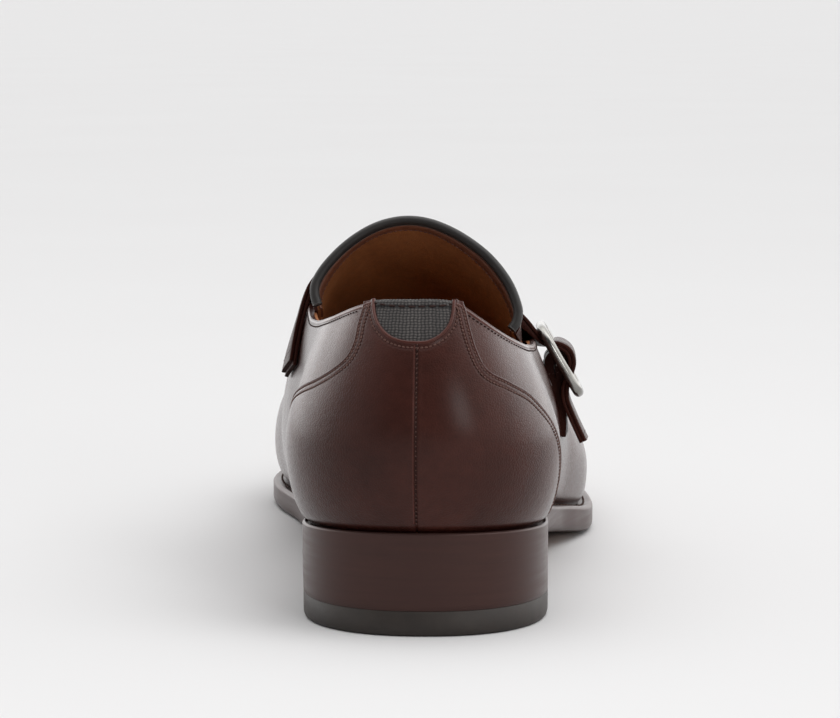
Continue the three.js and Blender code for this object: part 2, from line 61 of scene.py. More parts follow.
sole = {
    "heelReach": 36.0, "toeReach": 269.0, "toeRounding": 200.0, "heelSquareness": 2.25,
    "breastLine": 37.0, "topPiece": 7.0, "seatHeight": 20.2, "pitch": 0.067,
    "treadEnd": 160.0, "toeSpring": 9.0, "outsole": 5.3, "welt": 3.0, "insole": 3.0, "medialTaper": 0.7,
    "squareTo": 6, "blend": 16, "shelf": 4.4,
}
plan = {
    "y": [0, 36, 66, 95, 110, 125, 142, 166, 185, 203, 220, 236],
    "spine": [0, 0, -0.5, -1.8, -2.6, -3.5, -4.7, -6.4, -8, -9.3, -10.5, -11],
    "lateral": [34.8, 34.4, 34.6, 41.2, 47.2, 52.4, 54.6, 54, 51.6, 48.6, 43.6, 41],
    "medial": [34.1, 32.6, 31.5, 35, 37.4, 39.8, 42.8, 49, 50.2, 45.6, 37.8, 34],
}
ridge = {
    "y": [12, 36, 66, 95, 125, 145, 168, 190, 236, 275],
    "x": [0, -2, -5, -6.5, -8, -8.6, -9.3, -10, -11, -11],
    "z": [120, 119.5, 110.2, 93, 77, 69, 61.5, 56, 46.8, 38],
    "inset": [1.8, 1.6, 1.6, 2.3, 3.2, 3.6, 4, 4.2, 4.2, 4.2],
}
sections = {
    "lateral": {
        "y": [12, 14.5, 22, 36, 66, 95, 125, 145, 168, 190, 236],
        "rise": [23, 23, 23, 22, 22, 19, 14, 13, 13, 12, 10],
        "swell": [6.2, 6, 5.4, 4.6, 6, 4, 1.9, 1.8, 2.2, 2.2, 2.2],
        "fullness": [1.75, 1.32, 1.22, 1.27, 1.5, 1.58, 1.52, 1.6, 1.8, 2, 2.3],
    },
    "medial": {
        "y": [12, 14.5, 22, 36, 66, 95, 125, 145, 168, 190, 236],
        "rise": [23, 23, 23, 22, 24, 24, 22, 16, 13, 12, 10],
        "swell": [6.2, 6.2, 6.3, 6.6, 9.6, 12, 10.5, 6.6, 4.1, 2.4, 2.2],
        "fullness": [1.75, 1.36, 1.5, 1.85, 2.5, 2.25, 2.4, 2.35, 2.3, 2.3, 2.3],
    },
}
waistProfile = {
    "y": [37, 60, 80, 95, 108, 119, 128, 136, 144],
    "height": [15.3, 11.6, 8.2, 5.7, 3.5, 1.5, 0.4, 0, 0],
}
topline = {
    "y": [-30, -26.2, -24, -20.6, -14, -6, 6, 20, 34, 50, 66, 84, 104],
    "lateral": [91, 90.3, 85.9, 82.3, 78.8, 76.4, 74.9, 73.3, 71.6, 69.8, 69.2, 68, 67],
    "medial": [91, 90.7, 90.2, 88.6, 86.3, 83.8, 81.7, 79.9, 78.5, 77.6, 78.4, 79, 78],
}
signOf = {"lateral": 1, "medial": -1}


def eased(t):
    return t * t * (3 - 2 * t)


def hump(d, middle, width):
    return np.exp(-((d - middle) / width) ** 2)


def along(table, column, y):
    ys, values = np.array(table["y"], float), np.array(table[column], float)
    y = np.asarray(y, float)
    n = len(ys)
    after, before = np.minimum(np.arange(n) + 1, n - 1), np.maximum(np.arange(n) - 1, 0)
    slope = (values[after] - values[before]) / (ys[after] - ys[before])
    i = np.clip(np.searchsorted(ys, y, side="right") - 1, 0, n - 2)
    span = ys[i + 1] - ys[i]
    t = np.clip((y - ys[i]) / span, 0, 1)
    ease = eased(t)
    bend = (t * (1 - t) ** 2 * slope[i] - t * t * (1 - t) * slope[i + 1]) * span
    return values[i] * (1 - ease) + values[i + 1] * ease + bend


def soleBottom(y):
    y = np.asarray(y, float)
    seat = sole["seatHeight"] - sole["pitch"] * (y + sole["heelReach"])
    toe = sole["toeSpring"] * ((y - sole["treadEnd"]) / (sole["toeReach"] - sole["treadEnd"])) ** 2
    middle = along(waistProfile, "height", y)
    return np.where(y <= sole["breastLine"], seat, np.where(y <= sole["treadEnd"], middle, toe))


def outsoleTop(y):
    return soleBottom(y) + sole["outsole"]


def weltTop(y):
    return outsoleTop(y) + sole["welt"]


def featherHeight(y):
    return weltTop(y) + 0.3


def soleHalfWidth(side, y):
    width = along(plan, side, np.maximum(y, 0))
    heel = np.clip(-y / sole["heelReach"], 0, 1) ** sole["heelSquareness"]
    toe = np.clip((y - sole["toeRounding"]) / (sole["toeReach"] - sole["toeRounding"]), 0, 1) ** 2
    width = width * (1 - heel) ** (1 / sole["heelSquareness"]) * np.sqrt(1 - toe)
    return np.where((y < -sole["heelReach"]) | (y > sole["toeReach"]), -1e9, width)


def soleRadius(side, y, turn, x):
    inside, outside = np.zeros_like(y), np.full_like(y, 140.0)
    for _ in range(44):
        r = (inside + outside) / 2
        atY = y + r * np.sin(turn)
        atX = x + signOf[side] * r * np.cos(turn) - along(plan, "spine", atY)
        within = signOf[side] * atX < soleHalfWidth(side, atY)
        inside, outside = np.where(within, r, inside), np.where(within, outside, r)
    return inside


# Stations: a fan round the heel, straight across the waist, a fan round the toe

fans = {"heel": 12, "waist": 30, "toe": 134, "end": 236}  # where the fans of stations stand along the shoe


def fineStations():
    t = np.linspace(0, 1, 500)
    heel = fans["heel"] + (fans["waist"] - fans["heel"]) * t ** 1.7, -np.pi / 2 * (1 - t) ** 1.6
    waist = np.linspace(fans["waist"], fans["toe"], 300), np.zeros(300)
    toe = fans["toe"] + (fans["end"] - fans["toe"]) * (1 - (1 - t) ** 1.8), np.pi / 2 * t ** 2
    y = np.concatenate([heel[0], waist[0][1:-1], toe[0]])
    turn = np.concatenate([heel[1], waist[1][1:-1], toe[1]])
    return y, turn


def stationsFor(y, turn):
    x = along(ridge, "x", y)
    return y, turn, x, {side: soleRadius(side, y, turn, x) for side in signOf}


def placed(side, y, turn, x, r):
    return x + signOf[side] * r * np.cos(turn), y + r * np.sin(turn)


lastGrid = {
    "stations": 461, "levels": 181, "fineRow": 901, "smoothAcross": 3.2, "smoothAlong": 2.6, "tuck": 1.25,
    "tuckHeight": 1.7, "sectionSteps": 520, "belly": 0.28, "bellyLean": 25, "rear": 45, "instep": 60,
}


def unit(v):
    return v / np.maximum(np.linalg.norm(v, axis=-1, keepdims=True), 1e-12)


def runLength(line):  # distance along the rows, from 0
    steps = np.linalg.norm(np.diff(line, axis=0), axis=-1)
    return np.concatenate([np.zeros((1,) + steps.shape[1:]), np.cumsum(steps, axis=0)])


def resampled(line, count):
    length = runLength(line)
    at = np.linspace(0, length[-1], count)
    return np.stack([np.interp(at, length, line[:, k]) for k in range(line.shape[1])], -1)


def blurred(values, sigma, periodic):
    reach = int(np.ceil(3 * sigma))
    kernel = np.exp(-0.5 * (np.arange(-reach, reach + 1) / sigma) ** 2)
    kernel /= kernel.sum()
    if periodic:
        padded = np.concatenate([values[-reach:], values, values[:reach]])
    else:
        before, after = 2 * values[:1] - values[reach:0:-1], 2 * values[-1:] - values[-2:-reach - 2:-1]
        padded = np.concatenate([before, values, after])
    n = len(values)
    return sum(k * padded[i:i + n] for i, k in enumerate(kernel))


def sectionOf(side, y, turn, x, radius):
    part = np.linspace(0, 1, lastGrid["sectionSteps"])
    belly, lean = lastGrid["belly"], math.radians(lastGrid["bellyLean"])
    feather = (radius - along(ridge, "inset", y))[:, None]
    swell, rise, fullness = (along(sections[side], key, y)[:, None] for key in ("swell", "rise", "fullness"))
    a = lean + (np.pi / 2 - lean) * np.clip(part / belly, 0, 1)
    out = (np.sin(a) - math.sin(lean)) / (1 - math.sin(lean))
    up = (math.cos(lean) - np.cos(a)) / math.cos(lean)
    b = np.pi / 2 * np.clip((part - belly) / (1 - belly), 0, 1)
    above = part > belly
    r = np.where(above, (feather + swell) * np.clip(np.cos(b), 0, 1) ** (2 / fullness), feather + swell * out)
    atX, atY = placed(side, y[:, None], turn[:, None], x[:, None], r)
    base = featherHeight(atY)
    crown = (along(ridge, "z", atY) - base - rise) * np.clip(np.sin(b), 0, 1) ** (2 / fullness)
    return np.stack([atX, atY, np.where(above, base + rise + crown, base + rise * up)], -1)


def buildLast():
    y, turn, x, radius = stationsFor(*fineStations())
    length = 0
    for side in signOf:
        r = radius[side] - along(ridge, "inset", y)
        length = length + runLength(np.stack(placed(side, y, turn, x, r), -1)) / 2
    n, m, fine = lastGrid["stations"], lastGrid["levels"], lastGrid["fineRow"]
    s = np.linspace(0, length[-1], n)
    y, turn, x, radius = stationsFor(np.interp(s, length, y), np.interp(s, length, turn))
    lateral, medial = (sectionOf(side, y, turn, x, radius[side]) for side in signOf)
    across = np.empty((n, 2 * m - 1, 3))
    for i in range(n):
        whole = np.concatenate([lateral[i], medial[i][::-1][1:]])
        steps = np.linalg.norm(np.diff(whole, axis=0), axis=1)
        crest = steps[:len(lateral[i]) - 1].sum() / steps.sum()  # share of the section at the ridge
        row = blurred(resampled(whole, fine), lastGrid["smoothAcross"] / (steps.sum() / (fine - 1)), False)
        at = np.concatenate([np.linspace(0, crest, m), np.linspace(crest, 1, m)[1:]]) * (fine - 1)
        across[i] = np.stack([np.interp(at, np.arange(fine), row[:, k]) for k in range(3)], -1)
    ring = np.concatenate([across[:, :m], across[::-1, m - 1:][:, ::-1][1:-1]])  # lateral heel to toe, medial back
    ring = blurred(ring, lastGrid["smoothAlong"] / (s[1] - s[0]), True)
    # the leather tucks in where it meets the welt
    climb = runLength(ring.transpose(1, 0, 2)).T
    run = np.roll(ring[:, 0], -2, 0) - np.roll(ring[:, 0], 2, 0)
    outward = unit(np.stack([run[:, 1], -run[:, 0], 0 * run[:, 0]], -1))
    outward = outward * np.sign((outward * (ring[:, 0] - ring[:, 0].mean(0))).sum())
    ring = ring - outward[:, None] * (lastGrid["tuck"] * hump(climb, 0, lastGrid["tuckHeight"]))[..., None]
    across[:, :m] = ring[:n]
    back = np.concatenate([ring[n - 1:], ring[:1]])[::-1]
    across[:, m - 1:] = back[:, ::-1]
    return {"s": s, "y": y, "turn": turn, "across": across, "around": np.concatenate([back[:0:-1], ring[:n]])}


last = buildLast()
reach = last["s"][-1]  # length of the feather line from the back seam to the toe
levels = lastGrid["levels"]
print("last built: feather line", round(float(reach), 1), "mm a side")


def sampled(grid, i, j):
    n, m = grid.shape[:2]
    i, j = np.broadcast_arrays(np.asarray(i, float), np.asarray(j, float))
    i, j = np.clip(i, 0, n - 1.0001), np.clip(j, 0, m - 1.0001)
    i0, j0 = np.floor(i).astype(int), np.floor(j).astype(int)

    def weights(t):
        return [(-t ** 3 + 2 * t ** 2 - t) / 2, (3 * t ** 3 - 5 * t ** 2 + 2) / 2,
                (-3 * t ** 3 + 4 * t ** 2 + t) / 2, (t ** 3 - t ** 2) / 2]

    wi, wj = weights(i - i0), weights(j - j0)
    total = np.zeros(i.shape + (3,))
    for a in range(4):
        rows = np.clip(i0 + a - 1, 0, n - 1)
        for b in range(4):
            columns = np.clip(j0 + b - 1, 0, m - 1)
            total += (wi[a] * wj[b])[..., None] * grid[rows, columns]
    return total


def surfacePoint(grid, i, j, out):
    p = sampled(grid, i, j)
    n, m = grid.shape[:2]
    i, j = np.clip(i, 0, n - 1.0001), np.clip(j, 0, m - 1.0001)
    di = sampled(grid, np.minimum(i + 0.7, n - 1.0001), j) - sampled(grid, np.maximum(i - 0.7, 0), j)
    dj = sampled(grid, i, np.minimum(j + 0.7, m - 1.0001)) - sampled(grid, i, np.maximum(j - 0.7, 0))
    normal = unit(np.cross(di, dj))
    return p + normal * np.asarray(out, float)[..., None], normal


def aroundHeel(a, u, out=0.0):
    step = last["s"][1]
    return surfacePoint(last["around"], np.asarray(a) / step + len(last["s"]) - 1, np.asarray(u) * (levels - 1), out)


def overInstep(s, w, out=0.0):
    return surfacePoint(last["across"], np.asarray(s) / last["s"][1], (np.asarray(w) + 1) * (levels - 1), out)


def onSide(side, s, u, out=0.0):
    s, u = np.broadcast_arrays(np.asarray(s, float), np.asarray(u, float))
    out = np.broadcast_to(np.asarray(out, float), s.shape)
    near, nearNormal = aroundHeel(signOf[side] * s, u, out)
    far, farNormal = overInstep(s, -signOf[side] * (1 - u), out)
    rear = (s < lastGrid["rear"])[..., None]
    return np.where(rear, near, far), np.where(rear, nearNormal, farNormal)


def stationAt(y):
    return np.interp(y, last["y"], last["s"])


def yAt(s):
    return np.interp(s, last["s"], last["y"])


def levelAtHeight(side, s, height):
    s, height = np.broadcast_arrays(np.atleast_1d(np.asarray(s, float)), np.asarray(height, float))
    u = np.linspace(0, 1, 241)
    found = []
    for at, wanted in zip(s, height):
        z = onSide(side, np.full(len(u), at), u)[0][:, 2]
        found.append(np.interp(wanted, np.maximum.accumulate(z), u))
    return np.array(found)


throat = {"start": 94.5, "end": 104.0}


def topLevel(side, s):
    u = np.linspace(0.15, 1, 260)
    result = []
    for at in np.atleast_1d(np.asarray(s, float)):
        p = onSide(side, np.full(len(u), at), u)[0]
        over = p[:, 2] - along(topline, side, p[:, 1])
        level, k = 1.0, int(np.argmax(over > 0))
        if k > 0:
            f = -over[k - 1] / (over[k] - over[k - 1])
            level = u[k - 1] + f * (u[k] - u[k - 1])
        y = float(yAt(at))
        if at > lastGrid["instep"] and y > throat["start"]:
            t = min(1.0, (y - throat["start"]) / (throat["end"] - throat["start"]))
            level = level + (1 - level) * (1 - math.sqrt(1 - t * t))
        result.append(min(level, 1.0))
    return np.array(result)


# Mesh helpers

def gridFaces(rows, columns, closeRows=False, closeColumns=False):
    i = np.arange(rows if closeRows else rows - 1)
    j = np.arange(columns if closeColumns else columns - 1)
    i, j = np.meshgrid(i, j, indexing="ij")
    i2, j2 = (i + 1) % rows, (j + 1) % columns
    return np.stack([i * columns + j, i2 * columns + j, i2 * columns + j2, i * columns + j2], -1).reshape(-1, 4)


def addObject(name, data):
    thing = bpy.data.objects.new(name, data)
    bpy.context.scene.collection.objects.link(thing)
    return thing


def addPiece(name, mesh, finish, replaces=()):
    piece = addObject(name, mesh)
    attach(piece, "root")
    if replaces:
        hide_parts(*replaces)
    return piece


def makePiece(name, solid, finish, replaces=(), uv=None, sharp=50, weld=0.004):
    points, faces = solid
    mesh = bpy.data.meshes.new(name)
    mesh.from_pydata((np.asarray(points).reshape(-1, 3) * 0.001).tolist(), [], [list(map(int, f)) for f in faces])
    if uv is not None:
        layer = mesh.uv_layers.new(name="UVMap")
        loops = np.empty(len(mesh.loops), int)
        mesh.loops.foreach_get("vertex_index", loops)
        layer.data.foreach_set("uv", np.asarray(uv, float).reshape(-1, 2)[loops].ravel())
    work = bmesh.new()
    work.from_mesh(mesh)
    bmesh.ops.remove_doubles(work, verts=work.verts, dist=weld * 0.001)
    bmesh.ops.dissolve_degenerate(work, dist=1e-7, edges=work.edges)
    if work.calc_volume(signed=True) < 0:
        bmesh.ops.reverse_faces(work, faces=work.faces)
    bmesh.ops.delete(work, geom=[v for v in work.verts if not v.link_faces], context="VERTS")
    work.to_mesh(mesh)
    work.free()
    mesh.shade_smooth()
    if sharp:
        mesh.set_sharp_from_angle(angle=math.radians(sharp))
    mesh.materials.append(finishes[finish])
    return addPiece(name, mesh, finish, replaces)


def giveValues(piece, name, values):
    attribute = piece.data.attributes.new(name, "FLOAT", "POINT")
    attribute.data.foreach_set("value", np.asarray(values, np.float32)[:len(piece.data.vertices)])


def sheetSolid(outer, inner, closeRows=False):
    rows, columns = outer.shape[:2]
    count = rows * columns
    top = gridFaces(rows, columns, closeRows)
    faces = [top, top[:, ::-1] + count]
    index = np.arange(count).reshape(rows, columns)

    def wall(line, close=False):
        nxt = np.roll(line, -1)
        a, b = (line, nxt) if close else (line[:-1], nxt[:-1])
        return np.stack([b, a, a + count, b + count], -1)

    faces.append(wall(index[:, 0], closeRows))
    faces.append(wall(index[:, -1][::-1], closeRows))
    if not closeRows:
        faces.append(wall(index[0][::-1]))
        faces.append(wall(index[-1]))
    return np.concatenate([outer.reshape(-1, 3), inner.reshape(-1, 3)]), np.concatenate(faces)


def loopSolid(loops, closeRows=False):
    rows, columns = loops.shape[:2]
    faces = [list(f) for f in gridFaces(rows, columns, closeRows, True)]
    if not closeRows:
        faces.append(list(range(columns))[::-1])
        faces.append([(rows - 1) * columns + k for k in range(columns)])
    return loops.reshape(-1, 3), faces


def gradientOf(points):
    return unit(np.gradient(points, axis=0))


def swept(path, normals, profile, scale=None):
    tangent = gradientOf(path)
    side = unit(np.cross(tangent, normals))
    normal = unit(np.cross(side, tangent))
    profile = np.asarray(profile, float)
    scale = np.ones(len(path)) if scale is None else scale
    return (path[:, None] + side[:, None] * (profile[None, :, :1] * scale[:, None, None])
            + normal[:, None] * (profile[None, :, 1:] * scale[:, None, None]))


def circle(radius, count):
    a = np.linspace(0, 2 * np.pi, count, endpoint=False)
    return np.stack([radius * np.cos(a), radius * np.sin(a)], -1)


def tube(path, normal, radius, count):
    return loopSolid(swept(path, normal, circle(radius, count)))


def gridNormals(grid, upAt=None):  # turned so that the one at upAt points up
    normal = unit(np.cross(np.gradient(grid, axis=0), np.gradient(grid, axis=1)))
    return -normal if upAt and normal[upAt][2] < 0 else normal


def smoothLine(points, spacing):
    p = np.asarray(points, float)
    p = np.concatenate([2 * p[:1] - p[1:2], p, 2 * p[-1:] - p[-2:-1]])
    gap = np.maximum(np.linalg.norm(np.diff(p, axis=0), axis=1) ** 0.5, 1e-4)
    line = []
    for k in range(1, len(p) - 2):
        a, b, c = gap[k - 1], gap[k], gap[k + 1]
        m1 = ((p[k] - p[k - 1]) / a - (p[k + 1] - p[k - 1]) / (a + b) + (p[k + 1] - p[k]) / b) * b
        m2 = ((p[k + 1] - p[k]) / b - (p[k + 2] - p[k]) / (b + c) + (p[k + 2] - p[k + 1]) / c) * b
        t = np.linspace(0, 1, 33)[:-1, None]
        line.append((2 * t ** 3 - 3 * t ** 2 + 1) * p[k] + (t ** 3 - 2 * t ** 2 + t) * m1
                    + (-2 * t ** 3 + 3 * t ** 2) * p[k + 1] + (t ** 3 - t ** 2) * m2)
    line = np.concatenate(line + [p[len(p) - 2][None]])
    return resampled(line, max(2, int(round(runLength(line)[-1] / spacing)) + 1))


# Material helpers

def addNode(tree, kind, inputs=None, **properties):
    node = tree.nodes.new(kind)
    for key, value in properties.items():
        setattr(node, key, value)
    for key, value in (inputs or {}).items():
        if isinstance(value, bpy.types.NodeSocket):
            tree.links.new(value, node.inputs[key])
        else:
            node.inputs[key].default_value = value
    return node


def outputOf(tree, kind, output, inputs=None, **properties):
    return addNode(tree, kind, inputs, **properties).outputs[output]


def newMaterial(name, **settings):
    material = bpy.data.materials.new(name)
    material.use_nodes = True
    tree = material.node_tree
    shader = tree.nodes["Principled BSDF"]
    for key, value in settings.items():
        shader.inputs[key].default_value = value
    return material, tree, shader, outputOf(tree, "ShaderNodeTexCoord", "Object")


def feed(shader, key, value):
    shader.id_data.links.new(value, shader.inputs[key])


def ramp(tree, factor, stops):
    node = addNode(tree, "ShaderNodeValToRGB", {"Fac": factor})
    elements = node.color_ramp.elements
    while len(elements) < len(stops):
        elements.new(0.5)
    for element, (at, colour) in zip(elements, stops):
        element.position = at
        element.color = (*colour, 1)
    return node.outputs["Color"]


def blendOf(tree, factor, a, b, mode="MIX"):
    node = addNode(tree, "ShaderNodeMix", data_type="RGBA", blend_type=mode)
    for socket, value in ((0, factor), (6, a), (7, b)):
        if isinstance(value, bpy.types.NodeSocket):
            tree.links.new(value, node.inputs[socket])
        else:
            node.inputs[socket].default_value = value if socket == 0 else (*value, 1)
    return node.outputs[2]


def shaded(tree, colour, grey):
    greyColour = outputOf(tree, "ShaderNodeCombineColor", "Color", {"Red": grey, "Green": grey, "Blue": grey})
    return blendOf(tree, 1.0, colour, greyColour, "MULTIPLY")


def noise(tree, vector, scale, detail=3.0, rough=0.55, distortion=0.0):
    return outputOf(tree, "ShaderNodeTexNoise", "Fac", {
        "Vector": vector, "Scale": scale, "Detail": detail, "Roughness": rough, "Distortion": distortion})


def poresOf(tree, vector, scale):
    return outputOf(tree, "ShaderNodeTexVoronoi", "Distance", {"Vector": vector, "Scale": scale},
                    feature="DISTANCE_TO_EDGE")


def mapping(tree, vector, **settings):
    return outputOf(tree, "ShaderNodeMapping", "Vector", {"Vector": vector, **settings})


def mapRange(tree, value, low, high, toLow=0.0, toHigh=1.0):
    return outputOf(tree, "ShaderNodeMapRange", "Result", {
        "Value": value, "From Min": low, "From Max": high, "To Min": toLow, "To Max": toHigh})


def maths(tree, operation, a, b=None):
    return outputOf(tree, "ShaderNodeMath", 0, {0: a} if b is None else {0: a, 1: b}, operation=operation)


def bump(tree, height, strength, distance, normal=None):
    inputs = {"Height": height, "Strength": strength, "Distance": distance}
    if normal is not None:
        inputs["Normal"] = normal
    return outputOf(tree, "ShaderNodeBump", "Normal", inputs)


# Finishes

calf = {"grain": 1350.0, "grainDepth": 0.00013, "dark": (0.0235, 0.0070, 0.0052), "red": (0.050, 0.0140, 0.0100)}


def waxedCalf(name, shade=1.0, grainShare=1.0, coat=1.0):
    material, tree, shader, place = newMaterial(name, **{
        "Roughness": 0.36, "Specular IOR Level": 0.12 + 0.18 * coat, "Specular Tint": (0.55, 0.24, 0.19, 1),
        "Coat Weight": coat, "Coat Roughness": 0.26, "Coat IOR": 1.22})
    tones = [(0.32, [c * shade for c in calf["dark"]]), (0.7, [c * shade for c in calf["red"]])]
    mottled = mapRange(tree, noise(tree, place, 340, 4, 0.6), 0.3, 0.75, 0.84, 1.12)
    feed(shader, "Base Color", shaded(tree, ramp(tree, noise(tree, place, 22, 3, 0.6, 0.3), tones), mottled))
    plates = mapRange(tree, poresOf(tree, place, calf["grain"]), 0.0, 0.22)
    wrinkle = noise(tree, place, 620, 3, 0.6, 0.8)
    height = maths(tree, "ADD", plates, maths(tree, "MULTIPLY", wrinkle, 1.6))
    grainNormal = bump(tree, height, 0.44 * grainShare, calf["grainDepth"])
    feed(shader, "Normal", bump(tree, noise(tree, place, 90, 2, 0.5), 0.18, 0.0006, grainNormal))
    feed(shader, "Roughness", mapRange(tree, wrinkle, 0.25, 0.8, 0.31, 0.42))
    return material


def sewnThread(name, colour):
    material, tree, shader, place = newMaterial(name, **{"Roughness": 0.7, "Specular IOR Level": 0.15})
    tones = [(0.3, [c * 0.7 for c in colour]), (0.7, colour)]
    feed(shader, "Base Color", ramp(tree, noise(tree, place, 900, 3), tones))
    feed(shader, "Normal", bump(tree, noise(tree, place, 2600, 2), 0.4, 0.0001))
    return material


def tanLeather(name, light=(0.38, 0.15, 0.055), dark=(0.23, 0.08, 0.027), rough=0.52, gloss=0.4):
    material, tree, shader, place = newMaterial(name, **{"Roughness": rough, "Specular IOR Level": gloss})
    tone = ramp(tree, noise(tree, place, 28, 4, 0.6, 0.4), [(0.3, dark), (0.72, light)])
    speck = mapRange(tree, noise(tree, place, 700, 3, 0.6), 0.35, 0.7, 0.86, 1.08)
    feed(shader, "Base Color", shaded(tree, tone, speck))
    feed(shader, "Normal", bump(tree, mapRange(tree, poresOf(tree, place, 1300.0), 0, 0.2), 0.3, 0.00008))
    feed(shader, "Roughness", mapRange(tree, noise(tree, place, 120, 2), 0.3, 0.7, rough - 0.06, rough + 0.08))
    return material


def dressedEdge(name):
    material, tree, shader, place = newMaterial(name, **{
        "Specular IOR Level": 0.5, "Specular Tint": (0.6, 0.38, 0.34, 1), "Coat Weight": 0.15,
        "Coat Roughness": 0.22, "Coat IOR": 1.45})
    streak = noise(tree, mapping(tree, place, Scale=(1.0, 1.0, 14.0)), 38, 4, 0.62)
    tone = ramp(tree, streak, [
        (0.25, (0.030, 0.0150, 0.0135)), (0.62, (0.038, 0.0175, 0.0150)), (0.85, (0.046, 0.020, 0.0165))])
    height = outputOf(tree, "ShaderNodeSeparateXYZ", "Z", {"Vector": place})
    # lifts of the heel: hairline joints about every 4.4 mm
    wave = maths(tree, "PINGPONG", maths(tree, "ADD", height, -0.0071), 0.0022)
    joint = maths(tree, "MULTIPLY", mapRange(tree, wave, 0.0, 0.00022, 1.0, 0.0),
                  mapRange(tree, height, 0.0195, 0.02, 1.0, 0.0))
    colour = blendOf(tree, maths(tree, "MULTIPLY", joint, 0.1), tone, (0.008, 0.004, 0.0035))
    broad = mapRange(tree, noise(tree, place, 30, 2), 0.35, 0.7, 0.0, 0.35)
    feed(shader, "Base Color", blendOf(tree, broad, colour, (0.03, 0.0125, 0.0105)))
    feed(shader, "Roughness", mapRange(tree, streak, 0.3, 0.7, 0.3, 0.42))
    relief = maths(tree, "SUBTRACT", streak, maths(tree, "MULTIPLY", joint, 0.08))
    feed(shader, "Normal", bump(tree, relief, 0.06, 0.0002))
    return material


def rubberLift(name):
    material, tree, shader, place = newMaterial(name, **{"Roughness": 0.55, "Specular IOR Level": 0.4})
    tones = [(0.3, (0.019, 0.0142, 0.0115)), (0.75, (0.029, 0.0215, 0.0175))]
    feed(shader, "Base Color", ramp(tree, noise(tree, place, 160, 4), tones))
    feed(shader, "Normal", bump(tree, noise(tree, place, 1500, 3), 0.3, 0.0001))
    feed(shader, "Roughness", mapRange(tree, noise(tree, place, 60, 2), 0.3, 0.7, 0.46, 0.6))
    return material


def bottomLeather(name):
    material, tree, shader, place = newMaterial(name, **{"Specular IOR Level": 0.4})
    tones = [(0.28, (0.27, 0.125, 0.06)), (0.75, (0.41, 0.215, 0.115))]
    tone = ramp(tree, noise(tree, place, 34, 5, 0.65, 0.6), tones)
    stain = outputOf(tree, "ShaderNodeAttribute", "Fac", attribute_name="stain")
    feed(shader, "Base Color", blendOf(tree, stain, tone, (0.038, 0.0165, 0.0135)))
    fibre = noise(tree, place, 900, 4, 0.7)
    feed(shader, "Normal", bump(tree, fibre, 0.25, 0.00018))
    feed(shader, "Roughness", mapRange(tree, fibre, 0.3, 0.7, 0.36, 0.5))
    return material


def wovenCanvas(name):
    material, tree, shader, place = newMaterial(name, **{
        "Roughness": 0.85, "Specular IOR Level": 0.2, "Sheen Weight": 0.25, "Sheen Roughness": 0.5})
    yarn = outputOf(tree, "ShaderNodeAttribute", "Fac", attribute_name="yarn")
    # the weave pattern is the canvas's own; the near-black low end darkens the hollows between the yarns as painted
    # shade
    tones = [(0.1, (0.006, 0.0055, 0.0055)), (0.42, (0.036, 0.032, 0.031)), (1.0, (0.125, 0.112, 0.106))]
    fuzz = noise(tree, place, 2400, 4, 0.7)
    faded = mapRange(tree, fuzz, 0.35, 0.7, 0.0, 0.5)
    feed(shader, "Base Color", blendOf(tree, faded, ramp(tree, yarn, tones), (0.05, 0.048, 0.048)))
    feed(shader, "Normal", bump(tree, fuzz, 0.6, 0.0001))
    return material


def rolledSatin(name):
    material, tree, shader, place = newMaterial(name, **{
        "Specular IOR Level": 0.32, "Sheen Weight": 0.12, "Sheen Roughness": 0.4, "Roughness": 0.46})
    turned = mapping(tree, outputOf(tree, "ShaderNodeTexCoord", "UV"), Rotation=(0, 0, 0.8))
    ribs = outputOf(tree, "ShaderNodeTexWave", "Fac", {
        "Vector": turned, "Scale": 900.0, "Distortion": 0.6, "Detail": 1.0}, wave_type="BANDS")
    tones = [(0.3, (0.013, 0.0112, 0.0105)), (0.7, (0.024, 0.0212, 0.0202))]
    feed(shader, "Base Color", ramp(tree, noise(tree, place, 60, 3), tones))
    feed(shader, "Normal", bump(tree, maths(tree, "ADD", ribs, noise(tree, place, 2000, 3)), 0.3, 0.00006))
    return material


def brushedNickel(name):
    material, tree, shader, place = newMaterial(name, **{"Metallic": 1.0})
    tones = [(0.3, (0.235, 0.228, 0.213)), (0.7, (0.31, 0.302, 0.285))]
    feed(shader, "Base Color", ramp(tree, noise(tree, place, 180, 3), tones))
    brush = noise(tree, mapping(tree, place, Scale=(1, 6, 1)), 900, 3)
    feed(shader, "Roughness", mapRange(tree, brush, 0.3, 0.7, 0.16, 0.26))
    feed(shader, "Normal", bump(tree, brush, 0.15, 0.00005))
    return material


